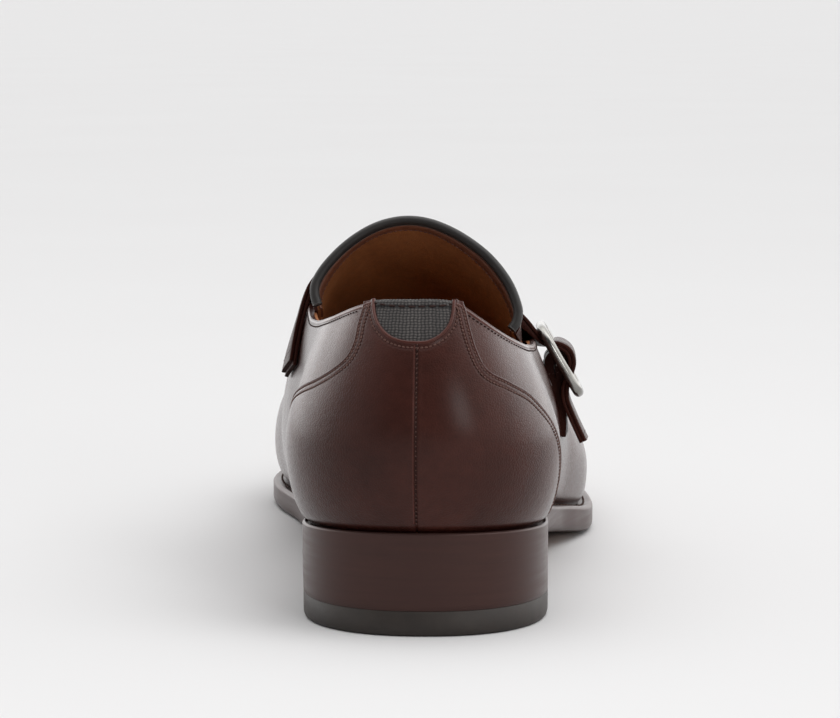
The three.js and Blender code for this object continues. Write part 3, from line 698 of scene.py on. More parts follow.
finishes = {
    "calf": waxedCalf("waxedCalf"),
    # a lighter copy of the calf (shade 1.7): painted highlight along the folded topline, the moon rim and the back seam
    # ridge, with some edge wear
    "wearAndHighlightCalf": waxedCalf("wearAndHighlightCalf", 1.7, 0.7),
    # a darker copy of the calf (shade 0.85) with a thin coat, for strap and tab: painted shade
    "shadedStrapCalf": waxedCalf("shadedStrapCalf", 0.85, 1.0, 0.12),
    "edge": dressedEdge("dressedEdge"),
    "rubber": rubberLift("rubberLift"),
    "bottom": bottomLeather("bottomLeather"),
    "lining": tanLeather("tanLining"),
    "sock": tanLeather("tanSock", (0.40, 0.2, 0.085), (0.27, 0.12, 0.045), 0.56),
    "binding": tanLeather("redBinding", (0.17, 0.058, 0.028), (0.10, 0.033, 0.017), 0.5),
    "canvas": wovenCanvas("wovenCanvas"),
    "satin": rolledSatin("rolledSatin"),
    "nickel": brushedNickel("brushedNickel"),
    "thread": sewnThread("brownThread", (0.15, 0.082, 0.068)),
    "moonThread": sewnThread("moonThread", (0.13, 0.066, 0.054)),
    "darkThread": sewnThread("darkThread", (0.035, 0.017, 0.0145)),
    "weltThread": sewnThread("weltThread", (0.06, 0.031, 0.023)),
    # dark matte leather for the strap's cut ends: painted shade
    "shadedCutEnds": tanLeather("shadedCutEnds", (0.03, 0.0125, 0.010), (0.018, 0.0075, 0.006), 0.8, 0.03),
}
print("finishes made:", len(finishes))


# Sole: rubber top piece, heel stack, outsole and welt, all on one outline

def outline(y, turn, x, radius, inset, height, up=0.0):
    halves = []
    for side in signOf:
        r = radius[side] - (inset(side) if callable(inset) else inset)
        px, py = placed(side, y, turn, x, r)
        halves.append(np.stack([px, py, (height(py) if callable(height) else 0 * py + height) + up], -1))
    return np.concatenate([halves[0], halves[1][::-1]])


def outlineStack(loops):
    rows, columns = len(loops), len(loops[0])
    faces = [list(f[::-1]) for f in gridFaces(rows, columns, False, True)]
    top = (rows - 1) * columns
    for i in range(columns // 2 - 1):
        a, b, c, d = i, i + 1, columns - 2 - i, columns - 1 - i
        faces.append([a, d, c, b])
        faces.append([top + a, top + b, top + c, top + d])
    return np.concatenate(loops), faces


def wholeStations(step=1.6):
    s = np.linspace(0, reach, int(reach / step))
    return stationsFor(yAt(s), np.interp(s, last["s"], last["turn"]))


def heelStations():
    y, turn = wholeStations(0.9)[:2]
    keep = y < sole["breastLine"] - 0.4
    return stationsFor(np.append(y[keep], sole["breastLine"]), np.append(turn[keep], 0))


heel = {
    "breastHollow": 1.6, "halfWidth": 31, "taperOver": 12, "joint": 0.12, "rows": 9,
    "round": [(1.3, 0), (0.75, 0.12), (0.3, 0.5), (0.06, 1.1), (0, 2.2)],  # inset and height at the rubber's lower edge
}


def makeHeel():
    st = heelStations()
    t, joint = sole["topPiece"], heel["joint"]
    fromBack = np.clip(st[0] - st[0].min(), 0, heel["taperOver"]) / heel["taperOver"]

    def level(inset, share, height):
        taper = sole["medialTaper"] * share * fromBack
        loop = outline(*st, lambda side: inset + (taper if side == "medial" else 0), height)
        front = loop[:, 1] > sole["breastLine"] - 0.3
        across = np.clip(loop[:, 0] / heel["halfWidth"], -1, 1)
        loop[front, 1] -= heel["breastHollow"] * (1 - across[front] ** 2)  # the front face is a little hollow
        return loop

    edge = heel["round"] + [(0, t - joint), (joint, t)]
    makePiece("heelTopPiece", outlineStack([level(inset, 1, z) for inset, z in edge]), "rubber", ["top_piece"])
    loops = [level(joint, 1, t), level(0, 1, t + joint)]
    for h in np.linspace(0, 1, heel["rows"])[1:]:
        loops.append(level(0, 1 - h, lambda y, h=h: t + (soleBottom(y) - t) * h))
    makePiece("heelStack", outlineStack(loops), "edge", ["heel_stack"])


# inset and height of each row in front of the heel, then the same under the heel, where the edge is square
outsoleRows = [(26, 0, 26, 0), (12, 0, 12, 0), (6, 0, 6, 0), (3.2, 0, 2.5, 0), (2.2, 0.08, 1.2, 0), (1.2, 0.34, 0, 0),
               (0.55, 0.85, 0, 0.8), (0.15, 1.6, 0, 1.6), (0, 2.5, 0, 2.5), (0, 3.9, 0, 3.9)]


def makeOutsole():
    st = wholeStations()
    ahead = eased(np.clip((st[0] - sole["breastLine"] + sole["squareTo"]) / sole["blend"], 0, 1))
    loops, stain = [], []
    for inset, up, heelInset, heelUp in outsoleRows:
        k, h = inset * ahead + heelInset * (1 - ahead), up * ahead + heelUp * (1 - ahead)
        loops.append(outline(*st, k, soleBottom, h))
        stain.append(np.full(len(loops[-1]), 0.0 if inset > 3.5 else 1.0))
    loops.append(outline(*st, 0, outsoleTop))
    values = np.concatenate([*stain, np.ones(len(loops[-1]))])
    piece = makePiece("outsoleLeather", outlineStack(loops), "bottom", ["outsole"], weld=0.0)
    giveValues(piece, "stain", values)
    piece.data.materials.append(finishes["edge"])
    for polygon in piece.data.polygons:
        stained = min(values[v] for v in polygon.vertices) > 0.5
        polygon.material_index = int(stained and polygon.normal.z > -0.75)


def makeWelt():
    st = wholeStations(1.3)
    shelf, top = along(ridge, "inset", st[0]) + sole["shelf"], sole["welt"]
    atHeel = np.clip((sole["breastLine"] + 12 - st[0]) / 24, 0, 1)
    # inset and height of each row, then the same above the heel: a bevelled crest with a groove inside it
    rows = [(shelf, 0, shelf, 0), (1.0, 0, 1.0, 0), (0, 0, 0, 0), (0, 0.1, 0, 0.1), (0, top - 1.5, 0, 2.3),
            (0, top - 1.4, 0, 2.42), (0.05, top - 1.1, 0.03, 2.48), (0.3, top - 0.62, 0.44, 2.9),
            (0.75, top - 0.22, 0.54, 2.95), (1.15, top, 0.78, 3.0), (1.6, top - 0.02, 1.04, 2.63),
            (2.1, top - 0.1, 1.37, 2.15), (2.8, top - 0.08, 1.82, 2.07), (shelf, top - 0.05, shelf, 2.15)]
    loops = np.stack([outline(*st, inset + (heelInset - inset) * atHeel, outsoleTop, up + (heelUp - up) * atHeel)
                      for inset, up, heelInset, heelUp in rows])
    makePiece("weltStrip", (loops, gridFaces(*loops.shape[:2], True, True)), "edge", ["welt"])


def makeInsole():
    st = wholeStations(2.2)
    inset, t = along(ridge, "inset", st[0]), sole["insole"]
    rows = [(4.6, -3.2), (4.4, -0.1), (3.6, 0.0), (3.0, 0.6), (2.6, t - 0.5), (3.0, t - 0.1), (4.0, t),
            (9, t - 0.25), (16, t - 0.4)]
    loops = [outline(*st, inset + k, featherHeight, h) for k, h in rows]
    makePiece("insoleSock", outlineStack(loops), "sock", ["insole"])


makeHeel()
makeOutsole()
makeWelt()
makeInsole()
print("sole made")


# Upper: one leather sheet for vamp and quarters, cut at the topline

upper = {"leather": 1.3, "lining": 0.9, "rowSpacing": 1.35, "columns": 52, "throatRows": 22, "liningColumns": 24}
creases = [  # across the vamp at the bend of the toes: y on the ridge, sweep back at the sides, depth, half width
    {"y": 150, "sweep": 9, "depth": 0.20, "width": 3.4, "reach": 0.62},
    {"y": 161, "sweep": 12, "depth": 0.24, "width": 3.8, "reach": 0.7},
    {"y": 173, "sweep": 15, "depth": 0.16, "width": 3.6, "reach": 0.6},
]


def reliefOf(points, sideShare):
    relief = np.zeros(points.shape[:-1])
    for c in creases:
        line = c["y"] - c["sweep"] * sideShare ** 2
        fade = np.clip(1 - (sideShare / c["reach"]) ** 2, 0, 1)
        relief -= c["depth"] * hump(points[..., 1], line, c["width"]) * fade
    return relief


def sheetRows():
    start, end = stationAt(throat["start"]), stationAt(throat["end"])
    s = [v for v in np.arange(0, reach, upper["rowSpacing"]) if not start - 0.5 < v < end + 0.5]
    s += list(start + (end - start) * (1 - (1 - np.linspace(0, 1, upper["throatRows"])) ** 1.9))
    return np.unique(np.append(s, reach))


def makeSheet(name, outer, inner, shut, finish, replaces=()):
    points, faces = sheetSolid(outer, inner, True)
    columns = outer.shape[1]
    row, column = faces % (len(shut) * columns) // columns, faces % columns
    faces = faces[~((column == columns - 1).all(1) & shut[row].all(1))]
    makePiece(name, (points, faces), finish, replaces, sharp=60, weld=0.02)


def makeUpperSheets():
    s = sheetRows()
    f = np.concatenate([np.linspace(0, 0.05, 8), np.linspace(0.07, 1, upper["columns"])])
    core = upper["leather"] + upper["lining"]
    depths = {"outer": 0, "inner": upper["leather"], "lining": upper["leather"] + 0.05, "core": core}
    sheets = {key: [] for key in depths}
    shut = (yAt(s) >= throat["end"] - 1e-6) & (s > lastGrid["instep"])  # both sides meet on the ridge, with no wall
    for side in signOf:
        u = np.where(shut, 1.0, topLevel(side, s))[:, None] * f[None, :]
        grid = np.repeat(s[:, None], len(f), 1)
        relief = reliefOf(onSide(side, grid, u)[0], np.where(grid > lastGrid["instep"], 1 - u, 2.0))
        for key, depth in depths.items():
            sheets[key].append(onSide(side, grid, u, relief - depth)[0])
    sheets = {key: np.concatenate([lateral, medial[::-1]]) for key, (lateral, medial) in sheets.items()}
    shut = np.concatenate([shut, shut[::-1]])
    makeSheet("quartersAndVamp", sheets["outer"], sheets["inner"], shut, "calf", ["upper"])
    n = len(s)
    keep = np.unique(np.append(np.arange(0, n, 2), n - 1))
    keep = np.concatenate([keep, 2 * n - 1 - keep[::-1]])
    columns = np.unique(np.round(np.linspace(0, len(f) - 1, upper["liningColumns"])).astype(int))
    outer, inner = (sheets[key][keep][:, columns] for key in ("lining", "core"))
    makeSheet("upperLining", outer, inner, shut[keep], "lining")


makeUpperSheets()
print("upper made")


# Seams of the back, as points on the last in the shoe's own sizes

counter = {"thickness": 0.85, "edgeRound": 0.55, "rows": (1.15, 2.75), "moonRow": 1.4, "furrow": 0.2, "gap": 0.22,
           "down": 90, "across": 60, "reach": 110}
counterLine = {
    "lateral": [(11.3, -24.9, 90.2), (12.0, -26.0, 87.0), (13.1, -28, 82.4), (15.2, -30.3, 76.8), (17.8, -30.9, 72.3),
                (23, -27.2, 68.6), (28.2, -22, 64.9), (31.9, -18.4, 61), (34.8, -14.4, 56.2), (36.6, -11.6, 51.4),
                (37.8, -8.6, 45.5), (38, -6.4, 39), (37, -5, 32.5), (35.4, -4.4, 28.2)],
    "medial": [(-15.2, -21.8, 89.6), (-15.6, -22.8, 88), (-16.8, -25.1, 83), (-17.6, -27.1, 79.3), (-19.4, -27.8, 75.4),
               (-22.9, -25.6, 71.9), (-27.8, -20.4, 68.5), (-31.9, -13.3, 65.8), (-35.4, -3.7, 62.2), (-38, 4, 57),
               (-39.5, 9, 50), (-40, 12, 42), (-38.4, 13.6, 34), (-36, 14, 28)],
}
halfMoon = {
    "medial": [(-0.7, -33.4, 79.4), (-4.5, -32.8, 79.65), (-8.0, -31.6, 80.9), (-10.9, -28.7, 83.8),
               (-12.2, -25.9, 87.4), (-12.5, -23.9, 90.4)],
    "lateral": [(-0.7, -33.4, 79.4), (2.2, -33.1, 79.65), (5.4, -31.8, 81.2), (7.8, -29.8, 84.2),
                (8.6, -27.8, 87.6), (8.7, -25.9, 90.6)],
}


def ontoLast(points):
    first = len(last["s"]) - counter["reach"]
    nodes = last["around"][first:first + 2 * counter["reach"]]
    found = []
    for p in np.asarray(points, float):
        d = ((nodes - p) ** 2).sum(-1)
        i, j = np.unravel_index(np.argmin(d), d.shape)
        a, u = (i + first + 1 - len(last["s"])) * last["s"][1], j / (levels - 1)
        for _ in range(12):  # nearest place on the smooth surface
            da = (aroundHeel(a + 0.3, u)[0] - aroundHeel(a - 0.3, u)[0]) / 0.6
            du = (aroundHeel(a, u + 0.002)[0] - aroundHeel(a, u - 0.002)[0]) / 0.004
            change = np.linalg.lstsq(np.stack([da, du], -1), p - aroundHeel(a, u)[0], rcond=None)[0]
            a, u = a + np.clip(change[0], -1, 1), np.clip(u + change[1], 0, 1)
        found.append((a, u))
    return np.array(found)


def seamCurve(points, spacing=0.5):
    return smoothLine(np.column_stack([ontoLast(points) * (1, 100)]), spacing) * (1, 0.01)


def cumulative(curve):
    return runLength(aroundHeel(curve[:, 0], curve[:, 1])[0])


def atShares(curve, shares):
    length = cumulative(curve)
    at = np.asarray(shares) * length[-1]
    return np.stack([np.interp(at, length, curve[:, k]) for k in range(2)], -1)


edgeSteps = np.array([0, 0.12, 0.28, 0.5, 0.8, 1.2, 1.7, 2.4, 3.3])


def offsetsAcross(width, middle):
    ends = edgeSteps * min(1.0, 0.3 * width / edgeSteps[-1])
    inside = np.linspace(ends[-1], width - ends[-1], middle)[1:-1]
    return np.concatenate([ends, inside, width - ends[::-1]]) / width


def counterHalf(side):
    moon, seam = seamCurve(halfMoon[side]), seamCurve(counterLine[side])
    rim = np.linspace(abs(moon[-1, 0]), abs(seam[0, 0]), 12)
    crest = np.stack([signOf[side] * rim, topLevel(side, rim)], -1)
    moon[-1], seam[0] = crest[0], crest[-1]
    topEdge = np.concatenate([moon, crest[1:]])
    steps = counter["across"]
    bottomEdge = np.stack([np.linspace(moon[0, 0], seam[-1, 0], steps), np.zeros(steps)], -1)
    seam[-1, 1] = 0
    backEdge = np.stack([np.full(steps, moon[0, 0]), np.linspace(moon[0, 1], 0, steps)], -1)
    v = offsetsAcross(cumulative(seam)[-1], counter["down"])
    h = offsetsAcross(cumulative(bottomEdge)[-1], steps)
    left, right = atShares(backEdge, v), atShares(seam, v)
    up, down = atShares(topEdge, h), atShares(bottomEdge, h)
    v, h = v[:, None, None], h[None, :, None]
    patch = ((1 - h) * left[:, None] + h * right[:, None] + (1 - v) * up[None] + v * down[None]
             - (1 - h) * (1 - v) * up[0] - h * (1 - v) * up[-1] - (1 - h) * v * down[0] - h * v * down[-1])
    return patch, seam, moon


def distanceTo(points, line):
    flat = points.reshape(-1, 3)
    best = np.full(len(flat), 1e9)
    a, b = line[:-1], line[1:]
    ab = b - a
    squared = (ab ** 2).sum(-1)
    for k in range(0, len(flat), 2000):
        p = flat[k:k + 2000, None]
        t = np.clip(((p - a) * ab).sum(-1) / squared, 0, 1)
        best[k:k + 2000] = np.sqrt((((a + t[..., None] * ab) - p) ** 2).sum(-1)).min(1)
    return best.reshape(points.shape[:-1])


counterSeams, moonEdges = {}, {}


def makeCounter():
    furrow = counter["furrow"]
    for side in signOf:
        patch, seam, moon = counterHalf(side)
        base = aroundHeel(patch[..., 0], patch[..., 1])[0]
        lines = [aroundHeel(line[:, 0], line[:, 1])[0] for line in (seam, moon)] + [base[:, 0]]
        fromSeam, fromMoon, fromBack = (distanceTo(base, line) for line in lines)
        fromBack = np.maximum(fromBack - counter["gap"] / 2, 0)
        rise = np.ones(base.shape[:2])
        for d, foot in ((fromSeam, 0.12), (fromMoon, 0.12), (fromBack, 0.6)):
            t = np.clip(d / counter["edgeRound"], 0, 1)
            rise = np.minimum(rise, foot + (1 - foot) * np.sqrt(np.clip(1 - (1 - t) ** 2, 0, 1)))
        out = counter["thickness"] * rise
        # furrows under the stitches, then soft rolls beside the edges: height, middle, half width
        for d, height, middle, width in (
                (fromSeam, -furrow, counter["rows"][0], 0.34), (fromSeam, -furrow, counter["rows"][1], 0.34),
                (fromMoon, -furrow, counter["moonRow"], 0.36), (fromMoon, 0.16, 0.55, 0.42),
                (fromSeam, 0.1, 0.5, 0.4), (fromBack, 0.1, 0.7, 0.6)):
            out = out + height * hump(d, middle, width)
        outer, inner = (aroundHeel(patch[..., 0], patch[..., 1], o)[0] for o in (out, -0.15))
        makePiece("counter" + side.capitalize(), sheetSolid(outer, inner), "calf", sharp=60)
        counterSeams[side], moonEdges[side] = seam, moon


makeCounter()
print("counter made")


# Topline: the leather is folded over the edge, with a bead that follows it from one side of the canvas to the other

fold = {"width": 1.6, "proud": 0.2, "inside": -2.35, "counterProud": 0.72, "rows": 520, "stitches": 0.35}


def toplinePath(side):
    start, end = stationAt(throat["start"]), stationAt(throat["end"])
    s = np.arange(abs(moonEdges[side][-1, 0]) - 0.3, start, 0.7)
    s = np.append(s, start + (end - start) * (1 - (1 - np.linspace(0, 1, 40)) ** 2.2))
    return s, topLevel(side, s)


def makeTopline():
    ends = []
    for side in signOf:
        s, u = toplinePath(side)
        u[-1] = 1.0
        raised = eased(np.clip((abs(counterSeams[side][0, 0]) + 0.5 - s) / 0.9, 0, 1))
        ends.append(np.column_stack([*onSide(side, s, u), raised]))
    line = resampled(np.concatenate([ends[0], ends[1][::-1][1:]]), fold["rows"])
    path, normal, lift = line[:, :3], unit(line[:, 3:6]), line[:, 6]
    inward = unit(np.cross(normal, gradientOf(path)))
    if inward[10, 2] > 0:
        inward = -inward
    width, inside = fold["width"], fold["inside"]
    loops = []
    for k, lifted in enumerate(lift):
        proud = fold["proud"] + fold["counterProud"] * lifted
        middle, r = (proud + inside) / 2, (proud - inside) / 2
        flat = min(r, 1.0)
        arc = [(flat - flat * math.sin(a), middle + r * math.cos(a)) for a in np.linspace(0.12, math.pi - 0.12, 13)]
        section = [(width + 0.5, lifted * 0.55 - 0.25), (width, proud - 0.3), (width - 0.3, proud - 0.12),
                   (1.15, proud - 0.04), (1.05, proud - 0.01), *arc, (1.8, inside), (4.5, inside + 0.1),
                   (5.0, inside + 0.5)]
        loops.append([path[k] + inward[k] * d + normal[k] * o for d, o in section])
    # the fold is in the lighter calf: painted highlight on its edge, with some edge wear
    makePiece("toplineFold", loopSolid(np.array(loops)), "wearAndHighlightCalf", sharp=55)
    return path, normal, inward, lift


foldPath, foldNormal, foldInward, foldLift = makeTopline()


# Canvas half-moon at the back, folded over the topline

canvas = {
    "pitch": (0.92, 0.8), "relief": 0.2, "out": 0.3, "overlap": 1.2, "inside": 6.0, "thickness": 0.75,
    "section": 105.0, "stitches": 1.5,  # length of the last's section at the back, and the stitches below the edge
    "columns": 170, "outsideRows": 120, "turnRows": 22, "insideRows": 26, "seed": 7,
}


def makeCanvas():
    edge = np.concatenate([moonEdges["medial"][::-1], moonEdges["lateral"][1:]])
    a = np.linspace(edge[0, 0] - 0.6, edge[-1, 0] + 0.6, canvas["columns"])
    low = np.interp(a, edge[:, 0], edge[:, 1])
    low = np.where((a < edge[0, 0]) | (a > edge[-1, 0]), low - 0.02, low) - canvas["overlap"] / canvas["section"]
    high = np.zeros(len(a))
    for side, pick in (("lateral", a >= 0), ("medial", a < 0)):
        high[pick] = topLevel(side, np.abs(a[pick])) - 0.8 / canvas["section"]
    u = low + (high - low) * np.linspace(0, 1, canvas["outsideRows"])[:, None]
    p, n = aroundHeel(np.broadcast_to(a, u.shape), u, canvas["out"])
    upward, top = unit(p[-1] - p[-3]), n[-1]
    r = (upper["leather"] + upper["lining"] + canvas["out"] + canvas["thickness"] * 0.5) / 2
    turn = np.linspace(0, np.pi, canvas["turnRows"])[1:, None, None]
    over = p[-1] - top * r + top * (r * np.cos(turn)) + upward * (r * 0.8 * np.sin(turn))
    inner = over[-1] - upward * np.linspace(0, canvas["inside"], canvas["insideRows"])[1:, None, None]
    base = np.concatenate([p, over, inner])
    facing = [n, top * np.cos(turn) + upward * np.sin(turn), np.repeat(-top[None], len(inner), 0)]
    normal = unit(np.concatenate(facing))
    rise = runLength(base) - runLength(p)[-1]
    ux = np.broadcast_to(cumulative(np.stack([a, high], -1)), rise.shape) / canvas["pitch"][0]
    uz = rise / canvas["pitch"][1]
    ux, uz = ux + 0.09 * np.sin(1.9 * uz + 0.6 * ux), uz + 0.08 * np.sin(1.3 * ux) + 0.06 * np.sin(3.1 * ux + uz)
    knots = 0.5 + 0.5 * np.cos(2 * np.pi * ux)
    yarn = np.abs(np.cos(np.pi * uz)) ** 0.55 * (0.22 + 0.78 * knots ** 0.45)
    rng = np.random.default_rng(canvas["seed"])
    yarn = yarn * np.interp(ux, np.arange(-4, 40), rng.uniform(0.8, 1.1, 44))
    pulled = hump(rise, -canvas["stitches"], 0.35)  # the stitch row pulls it in below the edge
    outer = base + normal * (canvas["relief"] * yarn - 0.2 * pulled + 0.22 * hump(rise, -0.4, 0.8))[..., None]
    piece = makePiece("canvasTab", sheetSolid(outer, base - normal * 0.4), "canvas", sharp=0, weld=0.0)
    # the colour follows the yarn height: darker in the hollows and where the stitch row pulls the canvas in, as painted
    # shade
    giveValues(piece, "yarn", np.concatenate([(yarn * (1 - 0.6 * pulled)).ravel(), np.zeros(yarn.size)]))
    row = int(np.argmin(np.abs(rise[:, canvas["columns"] // 2] + canvas["stitches"])))
    return outer[row], normal[row]


canvasRow, canvasRowNormal = makeCanvas()


def makeMoonRim():
    edge = resampled(np.concatenate([moonEdges["medial"][::-1], moonEdges["lateral"][1:]]), 160)
    path, normal = aroundHeel(edge[:, 0], edge[:, 1], counter["thickness"] - 0.12)
    # the rim is in the lighter calf: painted highlight
    makePiece("moonRim", tube(path, normal, 0.52, 14), "wearAndHighlightCalf")


makeMoonRim()


# Tongue: brown leather outside, tan lining inside, and a rolled rim

tongue = {"depth": 4.8, "front": 119.0, "rimRadius": 1.45, "rimRows": 240, "rimSides": 24, "edges": (66, 69)}
rimLine = [(23.9, 73.5), (25.3, 75.4), (25.9, 78.4), (25.3, 81.2), (22.7, 87), (17.4, 93.6), (11.2, 98.5), (4.7, 102.1),
           (-1.7, 104.3), (-7.6, 104.9), (-13.4, 104.1), (-19, 102), (-25.2, 98), (-30.2, 93.3), (-33.5, 89),
           (-34.9, 85.8), (-34.9, 83.2), (-34.0, 80.3)]
rimPath = smoothLine([(x, 70 - 0.4 * (107 - z), z) for x, z in rimLine], 0.6)  # the rim leans forward


def tongueSheet(shares, rows):
    edge = resampled(rimPath, 401)[np.round(shares * 400).astype(int)]
    flatY = np.linspace(40, 121, 90)
    low = levelAtHeight("lateral", stationAt(flatY), tongue["edges"][0]) - 1
    high = 1 - levelAtHeight("medial", stationAt(flatY), tongue["edges"][1])

    def inside(y):
        left = np.interp(y, flatY, low)
        return overInstep(stationAt(y), left + (np.interp(y, flatY, high) - left) * shares, -tongue["depth"])[0]

    y = edge[:, 1] + (tongue["front"] - edge[:, 1]) * rows[:, None]
    return inside(y) + (edge - inside(edge[:, 1])) * ((1 - rows[:, None]) ** 6)[..., None]


def makeTongue():
    shares = np.linspace(0, 1, 91)
    middle = tongueSheet(shares, 0.026 + 0.974 * np.linspace(0, 1, 60) ** 1.5)
    normal = gridNormals(middle, (30, 45))
    makePiece("tongueLeather", sheetSolid(middle + normal * 1.0, middle + normal * 0.02), "calf", ["tongue"], sharp=60)
    makePiece("tongueLining", sheetSolid(middle, middle - normal * 0.9), "lining", sharp=60)
    # reddish binding sewn inside the rim: its share of the way to the front, and its thickness
    band = [(0.018, 0.7), (0.022, 0.95), (0.03, 1.1), (0.04, 1.15), (0.052, 1.15), (0.062, 1.12), (0.068, 1.0),
            (0.072, 0.8)]
    place, thick = np.array(band).T
    grid = tongueSheet(shares, place)
    n = gridNormals(grid, (4, 45))
    makePiece("rimBinding", sheetSolid(grid - n * 0.7, grid - n * (0.42 + thick[:, None, None])), "binding", sharp=60)
    return grid[5] - n[5] * 1.55


bindingRow = makeTongue()


def makePiping():
    rows, sides = tongue["rimRows"], tongue["rimSides"]
    path = resampled(rimPath, rows)
    place = np.meshgrid(np.linspace(0, 0.12, rows), np.linspace(0, 0.009, sides), indexing="ij")
    rim = tube(path, unit(path - path.mean(0)), tongue["rimRadius"], sides)
    makePiece("tonguePiping", rim, "satin", ["tongue_piping"], uv=np.stack(place, -1), sharp=0, weld=0.0)


makePiping()
print("tongue made")


# Strap of two leathers, over the instep and through the buckle

strap = {"y": 85.0, "width": 19.0, "edgeRound": 0.5, "rows": 270, "columns": 9, "stitches": 1.75,
         "swell": 2.3, "swellRow": 181, "swellRows": 10.0}
# side, height and distance from the last of the strap's middle line, then its free run through the buckle
strapOver = [("medial", 57, 1.75), ("medial", 64, 1.5), ("medial", 71, 1.4), ("medial", 80, 1.4),
             ("medial", 86.5, -0.5), ("medial", 92, -1.7), ("medial", 97, -2.0), ("medial", 300, -1.4),
             ("lateral", 97, -1.2), ("lateral", 92, -1.3), ("lateral", 85, -1.8), ("lateral", 78.5, -2.0)]
strapThrough = [(27.8, 71.2, 0.9), (31.8, 67.5, 0.6), (35.1, 66.1, 0.3), (38.3, 66.2, 0.1), (41.2, 64.4, 0.1),
                (42.3, 61, 0.1), (41.5, 57.5, 0.1), (40.35, 54, 0.1), (40.3, 50, 0.1), (42.7, 43.6, 0.3),
                (46.1, 36.2, 0.4)]


def signedShare(side, y, height):
    u = levelAtHeight(side, stationAt(y), height)[0]
    return -(1 - u) if side == "lateral" else 1 - u


def strapLine(y, shares):
    s = stationAt(y)
    knots = [overInstep(s, shares[k], out)[0].reshape(3) for k, (_, _, out) in enumerate(strapOver)]
    home = stationAt(strap["y"])
    for k, (x, z, follow) in enumerate(strapThrough):
        w = shares[len(strapOver) + k]
        bend = (overInstep(s, w)[0] - overInstep(home, w)[0]).reshape(3)
        knots.append(np.array([x, strap["y"], z]) + bend * (follow, 1, follow))
    return smoothLine(knots, 0.5)


def makeStrap():
    shares = [signedShare(side, strap["y"], h) for side, h, _ in strapOver]
    shares += [signedShare("lateral", strap["y"], z) for _, z, _ in strapThrough]
    count, half = strap["rows"], strap["width"] / 2
    lines = [strapLine(strap["y"] + strap["width"] * v, shares) for v in np.linspace(-0.5, 0.5, strap["columns"])]
    lines = np.stack([resampled(line, count) for line in lines], 1)  # rows along, columns across
    normal = gridNormals(lines, (120, 4))
    # the lining bulges over the quarter's edge
    swell = strap["swell"] * hump(np.arange(count), strap["swellRow"], strap["swellRows"])

    def at(v, out, rows):
        j = (np.clip(v, -half, half) / strap["width"] + 0.5) * (strap["columns"] - 1)
        i0 = np.minimum(np.floor(j).astype(int), strap["columns"] - 2)
        f = (j - i0)[None, :, None]
        p, n = (grid[rows][:, i0] * (1 - f) + grid[rows][:, i0 + 1] * f for grid in (lines, normal))
        deep = np.where(out[None] < -0.5, 1 + swell[rows][:, None], 1)
        return p + unit(n) * (out[None] * deep)[..., None]

    for name, low, high, first in (("strapTop", 0.01, 1.2, 2), ("strapLining", -1.2, -0.01, 0)):
        isTop = name == "strapTop"
        crown = [(v, high + (0.10 if isTop else 0.0)) for v in np.linspace(-half + 2.6, half - 2.6, 9)]
        furrow = [(2.1, 0.05), (strap["stitches"], -0.06), (1.4, 0.03)] if isTop else []
        edge = [(half - d, high + z) for d, z in furrow + [(strap["edgeRound"], -0.02), (0.15, -0.18)]]
        edge += [(half, (low + high) / 2), (half - 0.12, low + 0.1), (half - 0.5, low)]
        under = [(v, low) for v in np.linspace(half - 2, -half + 2, 7)]
        section = np.array(crown + edge + under + [(-v, z) for v, z in reversed(edge)])
        loops = at(section[:, 0], section[:, 1], np.arange(first, count))
        # both strap leathers are in the darker calf: painted shade
        piece = makePiece(name, loopSolid(loops), "shadedStrapCalf", ["strap"] if isTop else ())
        piece.data.materials.append(finishes["shadedCutEnds"])
        for polygon in piece.data.polygons:  # the cut ends, given the dark finish as painted shade
            polygon.material_index = int(len(polygon.vertices) > 4)
    row = half - strap["stitches"]
    sides = [at(np.array([v]), np.array([1.14]), np.arange(8, count - 4))[:, 0] for v in (-row, row)]
    return sides + [at(np.linspace(-row, row, 30), np.full(30, 1.26), np.array([k]))[0] for k in (8, count - 5)]


strapStitchLines = makeStrap()
print("strap made")


# Buckle: nickel frame with a centre bar, prong and the leather tab that holds it

buckle = {"wire": 1.52, "bar": 1.15, "length": 22.5, "width": 24.6, "squareness": 4.5, "centre": (38.5, 85.0, 61.4),
          "tilt": 30.5, "lean": 1.6, "barDrop": 0.45, "tabWidth": 13.0}
prong = {
    "radius": 0.85, "knots": [(-1.6, 0, 0.2), (-4, 0, 0.75), (-7.5, 0, 0.95), (-10, 0, 0.85), (-11.9, 0, 0.55)],
    "eyeGap": 0.62, "eye": [(0.85, -0.3), (0.85, 0.3), (0.6, 0.45), (-0.6, 0.45), (-0.85, 0.3), (-0.85, -0.3),
                            (-0.6, -0.42), (0.6, -0.42)],
}


def onBuckle(down, across, out):
    a, lean = math.radians(buckle["tilt"]), math.radians(buckle["lean"])
    down, across, out = np.broadcast_arrays(*(np.asarray(v, float) for v in (down, across, out)))
    y, out = across * math.cos(lean) + out * math.sin(lean), out * math.cos(lean) - across * math.sin(lean)
    place = [math.sin(a) * down + math.cos(a) * out, y, math.sin(a) * out - math.cos(a) * down]
    return np.stack(place, -1) + buckle["centre"]


